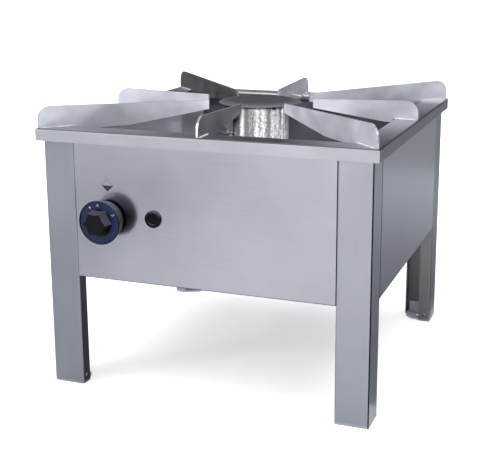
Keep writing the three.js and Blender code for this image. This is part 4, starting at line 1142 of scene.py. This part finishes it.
# %% Dial marks
DOT_RADIUS, DOT_STEPS = 1.7, 20
dot_turns = [math.tau * i / DOT_STEPS for i in range(DOT_STEPS)]
off_dot = [[(DOT_RADIUS * math.cos(t), DOT_RADIUS * math.sin(t)) for t in dot_turns]]
pilot_triangle = [
    stroke((-1.9, -1.8), (0, 2.0), 0.9),
    stroke((1.9, -1.8), (0, 2.0), 0.9),
    stroke((-0.8, -0.4), (0.8, -0.4), 0.7),
]
large_tick = [stroke((-2.6, 0.4), (-0.4, -1.2), 1.0), stroke((-0.4, -1.2), (2.2, 2.2), 1.0)]
small_bar = [stroke((-1.2, -0.8), (1.0, 0.8), 0.8)]
bright_marks = joined(dial_mark(off_dot, 124), dial_mark(pilot_triangle, 94), dial_mark(large_tick, 29))
faint_mark = dial_mark(small_bar, -31)
make_piece("knob_dial_marks", bright_marks, mark_print, "knob", knob_seat)
make_piece("knob_dial_faint_mark", faint_mark, faint_print, "knob", knob_seat)
print("marks", len([off_dot, pilot_triangle, large_tick, small_bar]))

# %% [markdown]
# ## The grip
# The part that the fingers turn is a six-sided boss whose sides are scooped hollow. It is lofted:
# rings of points, from the dial up to the face, are joined by faces. On each ring the scoop is a
# parabola that is deepest in the middle of a side. Cutting the scoops out of a prism would also
# work, but rings keep the flank even and let the scoop change with height. A narrow bevel round the
# face gives it the thin bright line that a worn moulded edge has.

# %% One ring of the grip
GRIP_SIDES, GRIP_STEPS = 6, 14
GRIP_FOOT_RADIUS, GRIP_FACE_RADIUS = 25.0, 22.0
grip_face = (panel_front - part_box("knob_grip")[0].y) / MM


def grip_ring(radius, hollow, height, bound=None):
    """One six-sided ring, scooped hollow along each side; bound rounds its corners off."""
    ring = []
    for side in range(GRIP_SIDES):
        turns = [math.tau * corner / GRIP_SIDES for corner in (side, side + 1)]
        start, end = (Vector((math.cos(t), math.sin(t))) * radius for t in turns)
        for step in range(GRIP_STEPS):
            share = step / GRIP_STEPS
            point = start.lerp(end, share)
            length = point.length - hollow * 4 * share * (1 - share)
            point = point.normalized() * (min(length, bound) if bound else length)
            ring.append((point.x, point.y, height))
    return ring


print("points on a ring", len(grip_ring(GRIP_FACE_RADIUS, 1.0, 0)))

# %% Rings of the grip
GRIP_BEVEL, GRIP_LEVELS = 0.9, 9


def grip_rings():
    """The grip's rings from its round foot inside the dial, up its flank, to its dished face."""
    foot = dial_face + FIT + 0.05
    foot_radius, foot_bound = DIAL_INNER + 1, DIAL_INNER - FIT
    rings = [grip_ring(foot_radius, 1.0, height, foot_bound) for height in (dial_back, foot)]
    low, high = foot + 0.3, grip_face - GRIP_BEVEL
    for level in range(GRIP_LEVELS + 1):
        share = level / GRIP_LEVELS
        radius = GRIP_FOOT_RADIUS + (GRIP_FACE_RADIUS - GRIP_FOOT_RADIUS) * share**0.85
        hollow = 0.9 + 0.7 * math.sin(share * math.pi / 2)
        rings.append(grip_ring(radius, hollow, low + (high - low) * share))
    rings.append(grip_ring(GRIP_FACE_RADIUS - 0.35, 1.65, grip_face - 0.35))
    rings.append(grip_ring(GRIP_FACE_RADIUS - GRIP_BEVEL, 1.7, grip_face))
    rings.append(grip_ring(GRIP_FACE_RADIUS * 0.5, 0.9, grip_face - 0.25))
    return rings


print("rings of the grip", len(grip_rings()))

# %% Grip
def lofted(rings):
    """Faces between rings of equally many points, closed at both ends."""
    count = len(rings[0])
    faces = []
    for row in range(len(rings) - 1):
        low, high = row * count, (row + 1) * count
        for i in range(count):
            after = (i + 1) % count
            faces.append((low + i, low + after, high + after, high + i))
    faces.append(tuple(reversed(range(count))))
    faces.append(tuple(range((len(rings) - 1) * count, len(rings) * count)))
    return sum(rings, []), faces


knob_grip = make_piece(
    "knob_grip_moulded", lofted(grip_rings()), grip_phenolic, "knob", knob_seat, 24
)
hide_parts("knob_grip")
print("grip face %.1f mm in front of the panel" % grip_face)

# %% [markdown]
# ## The index on the panel
# Above the knob a small printed diamond shows where a mark on the dial has to point. It is a thin
# grey outline whose lower half is filled black. Its width and height are measured from the picture.
# It is made of the same thin patches as the dial's marks, since it is printed in the same way.

# %% Printed diamond
DIAMOND_HALF_WIDTH, DIAMOND_HALF_HEIGHT, DIAMOND_LINE = 11.0, 10.3, 0.8
DIAMOND_DROP = 92.8  # below the frame's top
diamond_z = frame_top / MM - DIAMOND_DROP
diamond_seat = facing_front(knob_x, diamond_z * MM)
left_tip, right_tip = (-DIAMOND_HALF_WIDTH, 0), (DIAMOND_HALF_WIDTH, 0)
top_tip, low_tip = (0, DIAMOND_HALF_HEIGHT), (0, -DIAMOND_HALF_HEIGHT)
upper_lines = [stroke(left_tip, top_tip, DIAMOND_LINE), stroke(top_tip, right_tip, DIAMOND_LINE)]
outline = joined(*[printed_patch(line, 0.02, 0.05) for line in upper_lines])
filled_half = printed_patch([left_tip, low_tip, right_tip], 0.02, 0.07)
make_piece("index_diamond_outline", outline, grey_print, "stand", diamond_seat)
make_piece("index_diamond_filled_half", filled_half, dark_print, "stand", diamond_seat)
print("diamond %.0f by %.1f mm" % (2 * DIAMOND_HALF_WIDTH, 2 * DIAMOND_HALF_HEIGHT))

# %% [markdown]
# ## A screw thread
# The igniter and the gas inlet are screwed in. A real thread is a helix, so the radius of a point
# depends on its height and its angle together. Separate rings would be simpler and would look the
# same from afar, but nothing could be screwed onto them. The thread fades out at both ends, as a
# cut one does.

# %% Thread
def threaded(radius, depth, low, high, pitch, steps=48, rows_per_turn=6):
    """The flank of a real screw thread: the radius rises and falls along a helix."""
    rows = int((high - low) / pitch * rows_per_turn) + 1
    points = []
    for step in range(steps):
        angle = math.tau * step / steps
        for row in range(rows):
            height = low + (high - low) * row / (rows - 1)
            turn = (height / pitch - step / steps) % 1.0
            crest = 1 - abs(2 * turn - 1)  # 0 in the groove and 1 on the crest
            fade = max(0.0, min(1.0, (height - low) / pitch, (high - height) / pitch))
            r = radius - depth * (1 - crest) * fade - depth * (1 - fade)
            points.append((r * math.cos(angle), r * math.sin(angle), height))
    return points, grid_faces(rows, steps, wrap_columns=True)


thread_faces = threaded(10, 1, 0, 9, 1.5)[1]
print("a thread of six turns has", len(thread_faces), "faces")

# %% [markdown]
# ## The igniter
# A piezo igniter screws in through the panel. In front it shows a domed black bezel and a round
# push button that sits a little below the bezel's lip. Behind the panel its barrel is threaded, and
# a thin terminal at the back takes the lead. Each of these is turned, so one body is made of two
# profiles and a thread. The bore behind the button is a little deeper than the button travels.

# %% Sizes of the igniter
igniter_low, igniter_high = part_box("igniter_body")
igniter_x = (igniter_low.x + igniter_high.x) / 2
igniter_z = (igniter_low.z + igniter_high.z) / 2
igniter_seat = facing_front(igniter_x, igniter_z)
TERMINAL_RADIUS, TERMINAL_LENGTH = 1.5, 8
BARREL_RADIUS, THREAD_DEPTH, THREAD_PITCH = 10.5, 0.9, 1.5
BUTTON_BORE, BUTTON_TRAVEL, BORE_SPARE = 8.4, 6.0, 1.5
bezel_radius = (igniter_high.x - igniter_low.x) / 2 / MM
bezel_reach = (panel_front - igniter_low.y) / MM
terminal_end = (panel_front - igniter_high.y) / MM
barrel_back = terminal_end + TERMINAL_LENGTH
button_low, button_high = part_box("igniter_button")
button_radius = (button_high.x - button_low.x) / 2 / MM
button_face = (panel_front - button_low.y) / MM
button_back = (panel_front - button_high.y) / MM
bore_floor = button_back - BUTTON_TRAVEL - BORE_SPARE
print("igniter bezel %.0f mm, button %.0f mm" % (2 * bezel_radius, 2 * button_radius))

# %% Igniter body
BEZEL_ROUND = 3.2
root = BARREL_RADIUS - THREAD_DEPTH
thread_low, thread_high = barrel_back + 0.6, -0.6
barrel_profile = [
    (0, terminal_end),
    (TERMINAL_RADIUS, terminal_end),
    (TERMINAL_RADIUS, barrel_back),
    (root, barrel_back),
    (root, thread_low),
]
bezel_profile = [
    (root, thread_high),
    (root, FIT),
    (bezel_radius, FIT),
    (bezel_radius, 1.4),
    *rounded_corner((bezel_radius - BEZEL_ROUND, 1.4), BEZEL_ROUND, 0, 68, 6),
    (BUTTON_BORE + 1.4, bezel_reach),
    (BUTTON_BORE + 0.5, bezel_reach - 0.15),
    (BUTTON_BORE, bezel_reach - 0.7),
    (BUTTON_BORE, bore_floor),
    (0, bore_floor),
]
igniter_shape = joined(
    turned(barrel_profile, 48),
    threaded(BARREL_RADIUS, THREAD_DEPTH, thread_low, thread_high, THREAD_PITCH),
    turned(bezel_profile, 72),
)
igniter_body = make_piece(
    "igniter_body_moulded", igniter_shape, black_phenolic, "stand", igniter_seat, 40
)
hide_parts("igniter_body")
print("thread %.1f mm long" % (thread_high - thread_low))

# %% [markdown]
# ## The igniter's button
# The button is pushed with a thumb, so its face is dished and its edge is round. It is a body of
# its own that slides in the bore, and it keeps the place and the radius of its CAD node, so that it
# clears the bezel in every position.

# %% Igniter button
BUTTON_ROUND = 1.6
button_profile = [
    (0, button_back),
    (button_radius, button_back),
    (button_radius, button_face - BUTTON_ROUND),
    *rounded_corner((button_radius - BUTTON_ROUND, button_face - BUTTON_ROUND), BUTTON_ROUND, 0, 90, 5),
    (button_radius * 0.6, button_face - 0.25),
    (button_radius * 0.3, button_face - 0.7),
    (0, button_face - 0.85),
]
button_shape = turned(button_profile, 60)
igniter_button = make_piece(
    "igniter_button_moulded", button_shape, gloss_phenolic,
    "igniter_button", igniter_seat,
)
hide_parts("igniter_button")
print("button %.1f mm below the bezel's lip" % (bezel_reach - button_face))

# %% [markdown]
# ## The burner's drum
# The drum is thin sheet rolled into a tube and welded along one upright seam. Heat has made it
# slightly wavy. Ports can be cut with a boolean, but that leaves long thin faces which shade badly
# on a wavy wall. So the wall is built column by column, and a column's top is lower where it
# crosses a port. A noise that never changes moves each point in or out by a few tenths of a
# millimetre.

# %% Sizes of the drum
DRUM_SHEET = 1.5
PORTS, PORT_WIDTH, PORT_DEPTH = 24, 7.0, 3.5
NOTCH_ANGLE, NOTCH_DEPTH = -42.0, 8.0
WAVE_ROOM = 0.2  # keeps the waves inside the CAD drum's radius
drum_radius = (drum_high.x - drum_low.x) / 2 / MM
drum_bottom, drum_rim = drum_low.z / MM, drum_high.z / MM
burner_seat = Matrix.Translation((0, stand_centre_y, 0))
port_half_angle = math.degrees(PORT_WIDTH / 2 / drum_radius)
port_pitch = 360 / PORTS
print("ports", PORTS, "at %.0f degrees" % port_pitch)

# %% Rim and waves of the drum
def rim_height(angle):
    """Height of the rim at an angle in degrees, with its ports and the one lighting notch."""
    from_port = abs((angle % port_pitch) - port_pitch / 2)
    from_notch = abs((angle - NOTCH_ANGLE + 180) % 360 - 180)
    if from_notch < port_half_angle:
        return drum_rim - NOTCH_DEPTH
    return drum_rim - PORT_DEPTH if from_port < port_half_angle else drum_rim


def wavy(angle, height):
    """How far the heated sheet bulges at a place, in millimetres."""
    turn = math.radians(angle)
    place = Vector((math.cos(turn) * 1.6, math.sin(turn) * 1.6, height / 70))
    fine = Vector((math.cos(turn) * 9, math.sin(turn) * 9, height / 14))
    return 0.22 * noise.noise(place) + 0.07 * noise.noise(fine)


def drum_angles(step=1.5, slit=0.04):
    """Angles of the wall's columns in degrees: even steps, and a pair at each side of a port."""
    angles = {i * step for i in range(int(360 / step))}
    middles = [port_pitch * (i + 0.5) for i in range(PORTS)] + [NOTCH_ANGLE % 360]
    for middle in middles:
        for side in (-port_half_angle, port_half_angle):
            angles |= {(middle + side - slit) % 360, (middle + side + slit) % 360}
    return sorted(angles)


print("columns", len(drum_angles()))

# %% Drum wall
def drum_shape(rows=44):
    """The wall's outside and inside, column by column, calm at its welded foot and at the rim."""
    points = []
    for angle in drum_angles():
        turn = math.radians(angle)
        top = rim_height(angle)
        column = []
        for row in range(rows + 1):
            height = drum_bottom + (top - drum_bottom) * row / rows
            calm = min(1.0, (height - drum_bottom) / 16, max(0.25, (drum_rim - height) / 10))
            column.append((drum_radius - WAVE_ROOM + wavy(angle, height) * calm, height))
        inner = [(radius - DRUM_SHEET, height) for radius, height in reversed(column)]
        for radius, height in column + inner:
            points.append((radius * math.cos(turn), radius * math.sin(turn), height))
    return points, grid_faces(2 * (rows + 1), len(drum_angles()), wrap_columns=True, wrap_rows=True)


burner_drum = make_piece(
    "burner_drum_rolled", drum_shape(), drum_sheet, "stand", burner_seat, 40
)
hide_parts("burner_drum")
print("drum faces", len(burner_drum.data.polygons))

# %% [markdown]
# ## The burner cap
# The cap is a heavy disc of cast iron with a shallow dome, which lies loose on the drum. A collar
# below keeps it from sliding off. A flattened sphere has no thin edge, so the cap is turned from
# one profile. Its dome is a parabola, and its edge is broken above and below, as a casting's is.

# %% Sizes of the cap
COLLAR_RADIUS, COLLAR_WALL = 46.0, 2.5
CAP_EDGE = 2.0
cap_radius = cap_reach / MM
cap_under = drum_rim + FIT
cap_top = cap_high.z / MM
collar_bottom = cap_low.z / MM


def dome(steps=22):
    """The cap's upper side, from its edge, which is broken by 0.6 mm, to the middle."""
    edge = cap_under + CAP_EDGE
    rise = cap_top - edge
    points = []
    for i in range(steps + 1):
        way_out = 1 - i / steps
        points.append((cap_radius * way_out - (0.6 if i == 0 else 0), edge + rise * (1 - way_out**2)))
    return points


print("cap %.0f mm, top at %.1f mm" % (2 * cap_radius, cap_top))

# %% Cap
cap_profile = [
    (0, cap_under),
    (COLLAR_RADIUS - COLLAR_WALL, cap_under),
    (COLLAR_RADIUS - COLLAR_WALL, collar_bottom),
    (COLLAR_RADIUS, collar_bottom),
    (COLLAR_RADIUS, cap_under),
    (cap_radius - 0.7, cap_under),
    (cap_radius - 0.15, cap_under + 0.3),
    (cap_radius, cap_under + 0.9),
    (cap_radius - 0.15, cap_under + CAP_EDGE - 0.4),
    *dome(),
]
burner_cap = make_piece(
    "burner_cap_cast", turned(cap_profile, 120), cap_iron, "burner_cap", burner_seat, 40
)
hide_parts("burner_cap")
print("cap faces", len(burner_cap.data.polygons))

# %% [markdown]
# ## Weld beads
# Each pan support is welded to the frame along both sides of its outer end, and the drum is closed
# by one upright weld. A bead made by hand is a row of overlapping round ripples. It is swept here
# as a half-round bar whose size swells and shrinks along its length, with a little wander. Bump
# alone would leave its outline straight, and the outline is what makes a bead look hand-made.

# %% Beads
def weld_bead(start, end, normal, size, ripple=2.4, seed=0.0):
    """A rippled half-round bar from start to end, whose flat side faces against the normal."""
    start, end, normal = Vector(start), Vector(end), Vector(normal).normalized()
    along = (end - start).normalized()
    aside = along.cross(normal).normalized()
    length = (end - start).length
    sections = max(12, int(length / ripple * 4))
    round_steps = 7
    points = []
    for section in range(sections + 1):
        way = section / sections
        beat = (length * way / ripple + seed) % 1.0
        swell = 0.78 + 0.22 * math.sin(math.pi * beat) ** 0.7  # one ripple after another
        swell *= 1 + 0.16 * noise.noise(Vector((way * length * 0.12, seed, 0)))  # no two alike
        swell *= min(1.0, 0.25 + 6 * min(way, 1 - way))  # small where the bead starts and stops
        middle = start + along * length * way
        middle += aside * 0.12 * size * noise.noise(Vector((way * length * 0.2, seed + 7, 0)))
        for step in range(round_steps + 1):
            angle = math.pi * step / round_steps
            across = aside * math.cos(angle) * size * swell
            rise = normal * math.sin(angle) * size * 0.75 * swell
            points.append(tuple(middle + (across + rise)))
    rows = round_steps + 1
    faces = grid_faces(rows, sections + 1, wrap_rows=True)
    faces.append(tuple(range(rows)))
    faces.append(tuple(reversed(range(sections * rows, (sections + 1) * rows))))
    return points, faces


sample_bead = weld_bead((0, 0, 0), (40, 0, 0), (0, 0, 1), 1.7)
print("a bead of 40 mm has", len(sample_bead[1]), "faces")

# %% Welds of the pan supports
FIN_THICKNESS = 4.0
SIDE_WELD, CORNER_WELD = 41.0, 60.0
WELD_END_INSET = 2.5
BEAD_SIZE, BEAD_RIPPLE = 1.7, 2.2
half_width = (rim_high.x - rim_low.x) / 2 / MM
side_end, corner_end = half_width - 2, (half_width - 4) * math.sqrt(2) - 1  # from the axis
lift = Vector((0, 0, frame_top / MM + 0.3))
beads = []
for spoke in range(8):
    turn = math.radians(45 * spoke)
    is_corner = spoke % 2 == 1
    outward = Vector((math.cos(turn), math.sin(turn), 0))
    sideways = Vector((-math.sin(turn), math.cos(turn), 0))
    outer = (corner_end if is_corner else side_end) - WELD_END_INSET
    inner = outer - (CORNER_WELD if is_corner else SIDE_WELD)
    for hand in (-1, 1):
        foot = sideways * hand * (FIN_THICKNESS / 2 + 0.2) + lift
        normal = sideways * hand * 0.55 + Vector((0, 0, 1))
        start, end = outward * inner + foot, outward * outer + foot
        beads.append(weld_bead(start, end, normal, BEAD_SIZE, BEAD_RIPPLE, spoke * 1.7 + hand))
make_piece("support_welds", joined(*beads), weld_metal, "stand", burner_seat, 50)
print("weld beads", len(beads))

# %% [markdown]
# ## The seam of the drum
# The drum's own weld runs up its right side. It is the same bead, slightly wider and with a longer
# ripple, and it stops short of the foot and the rim. A line in the material would be quicker, but
# it would throw no highlight of its own.

# %% Drum weld
DRUM_WELD_ANGLE = -21  # degrees from the right, towards the front
SEAM_FOOT, SEAM_TOP = 15, 2  # above the drum's bottom and below its rim
SEAM_SIZE, SEAM_RIPPLE, SEAM_SEED = 1.8, 2.6, 3.3
turn = math.radians(DRUM_WELD_ANGLE)
outward = Vector((math.cos(turn), math.sin(turn), 0))
on_wall = outward * (drum_radius - WAVE_ROOM)
drum_weld = weld_bead(
    on_wall + Vector((0, 0, drum_bottom + SEAM_FOOT)),
    on_wall + Vector((0, 0, drum_rim - SEAM_TOP)),
    outward, SEAM_SIZE, SEAM_RIPPLE, SEAM_SEED,
)
make_piece("drum_seam_weld", drum_weld, weld_metal, "stand", burner_seat, 50)
print("drum weld %.0f mm long" % (drum_rim - drum_bottom - SEAM_FOOT - SEAM_TOP))

# %% [markdown]
# ## Rivets
# The plate in each foot is held by a small domed rivet through each folded lip of the leg. Half a
# sphere would stand out too far, so each is a shallow dome turned about its own axis. It is made
# once and set on every lip, standing out of its outer face.

# %% Foot rivets
RIVET_RADIUS, RIVET_DOME = 3.5, 1.5
RIVET_HEIGHT = 14.0  # above the floor
RIVET_FROM_CORNER = 11.5  # along the lip, from its folded corner
quarter = [math.pi / 2 * i / 6 for i in range(7)]
rivet = turned([(RIVET_RADIUS * math.cos(a), RIVET_DOME * math.sin(a)) for a in quarter], 20)


def lip_rivet(x, y, direction):
    """The dome at a place on a lip, standing out along a level direction."""
    lean = Vector((0, 0, 1)).rotation_difference(Vector(direction)).to_matrix().to_4x4()
    return moved(rivet, Matrix.Translation((x, y, RIVET_HEIGHT)) @ lean)


rivets = []
for corner in CORNERS:
    leg_low, leg_high = (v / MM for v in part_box("leg_" + corner))
    side_x = -1 if leg_low.x < 0 else 1
    side_y = -1 if leg_low.y < stand_centre_y / MM else 1
    outer_x, inner_x = (leg_low.x, leg_high.x) if side_x < 0 else (leg_high.x, leg_low.x)
    outer_y, inner_y = (leg_low.y, leg_high.y) if side_y < 0 else (leg_high.y, leg_low.y)
    rivets.append(lip_rivet(inner_x, outer_y - side_y * RIVET_FROM_CORNER, (-side_x, 0, 0)))
    rivets.append(lip_rivet(outer_x - side_x * RIVET_FROM_CORNER, inner_y, (0, -side_y, 0)))
make_piece("foot_rivets", joined(*rivets), zinc_plate, "stand", None, 50)
print("rivets", len(rivets))

# %% [markdown]
# ## The gas inlet
# Behind the stand a brass nipple with a standard pipe thread takes the gas hose. The CAD piece is
# plain, and the screw thread goes on here, along the part that stands out behind its nut. Its
# flange sits inside the rear panel, and its socket in front of that holds the supply pipe. A
# pattern in the material could stand for the thread, but its outline would stay straight.

# %% Sizes of the inlet
inlet_low, inlet_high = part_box("gas_inlet")
inlet_x = (inlet_low.x + inlet_high.x) / 2
inlet_z = (inlet_low.z + inlet_high.z) / 2
rear_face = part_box("rear_panel")[1].y
INLET_RADIUS, INLET_BORE = 10.5, 6.0
INLET_PITCH, INLET_DEPTH = 1.814, 1.0
FLANGE_BACK, FLANGE_FRONT = -2.3, -8.3  # from the rear panel's outside
BROKEN_EDGE = 0.6
PIPE_SEAT = 12  # solid metal behind the supply pipe's end
reach = (inlet_high.y - rear_face) / MM
socket = (inlet_low.y - rear_face) / MM
flange_radius = (inlet_high.x - inlet_low.x) / 2 / MM
rearwards = Matrix.Rotation(math.radians(-90), 4, "X")
inlet_seat = Matrix.Translation((inlet_x, rear_face, inlet_z)) @ rearwards
print("inlet reaches %.0f mm behind the panel" % reach)

# %% Inlet with its thread
inlet_root = INLET_RADIUS - INLET_DEPTH
inlet_inside = [
    (0, socket),
    (INLET_RADIUS - 0.8, socket),
    (INLET_RADIUS, socket + 0.8),
    (INLET_RADIUS, FLANGE_FRONT),
    (flange_radius - BROKEN_EDGE, FLANGE_FRONT),
    (flange_radius, FLANGE_FRONT + BROKEN_EDGE),
    (flange_radius, FLANGE_BACK - BROKEN_EDGE),
    (flange_radius - BROKEN_EDGE, FLANGE_BACK),
    (inlet_root, FLANGE_BACK),
    (inlet_root, 0.2),
]
inlet_end = [
    (inlet_root, reach - 1),
    (INLET_RADIUS - 2.2, reach),
    (INLET_BORE + 0.6, reach),
    (INLET_BORE, reach - 0.6),
    (INLET_BORE, socket + PIPE_SEAT),
    (0, socket + PIPE_SEAT),
]
inlet_shape = joined(
    turned(inlet_inside, 48),
    threaded(INLET_RADIUS, INLET_DEPTH, 0.2, reach - 1, INLET_PITCH),
    turned(inlet_end, 48),
)
gas_inlet = make_piece(
    "gas_inlet_threaded", inlet_shape, turned_brass, "stand", inlet_seat, 35
)
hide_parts("gas_inlet")
print("thread pitch %.3f mm" % INLET_PITCH)

# %% [markdown]
# Fine detail must not make the object bigger. The view transform is Standard, which shows each
# colour about as it was written.

bpy.context.scene.view_settings.view_transform = "Standard"
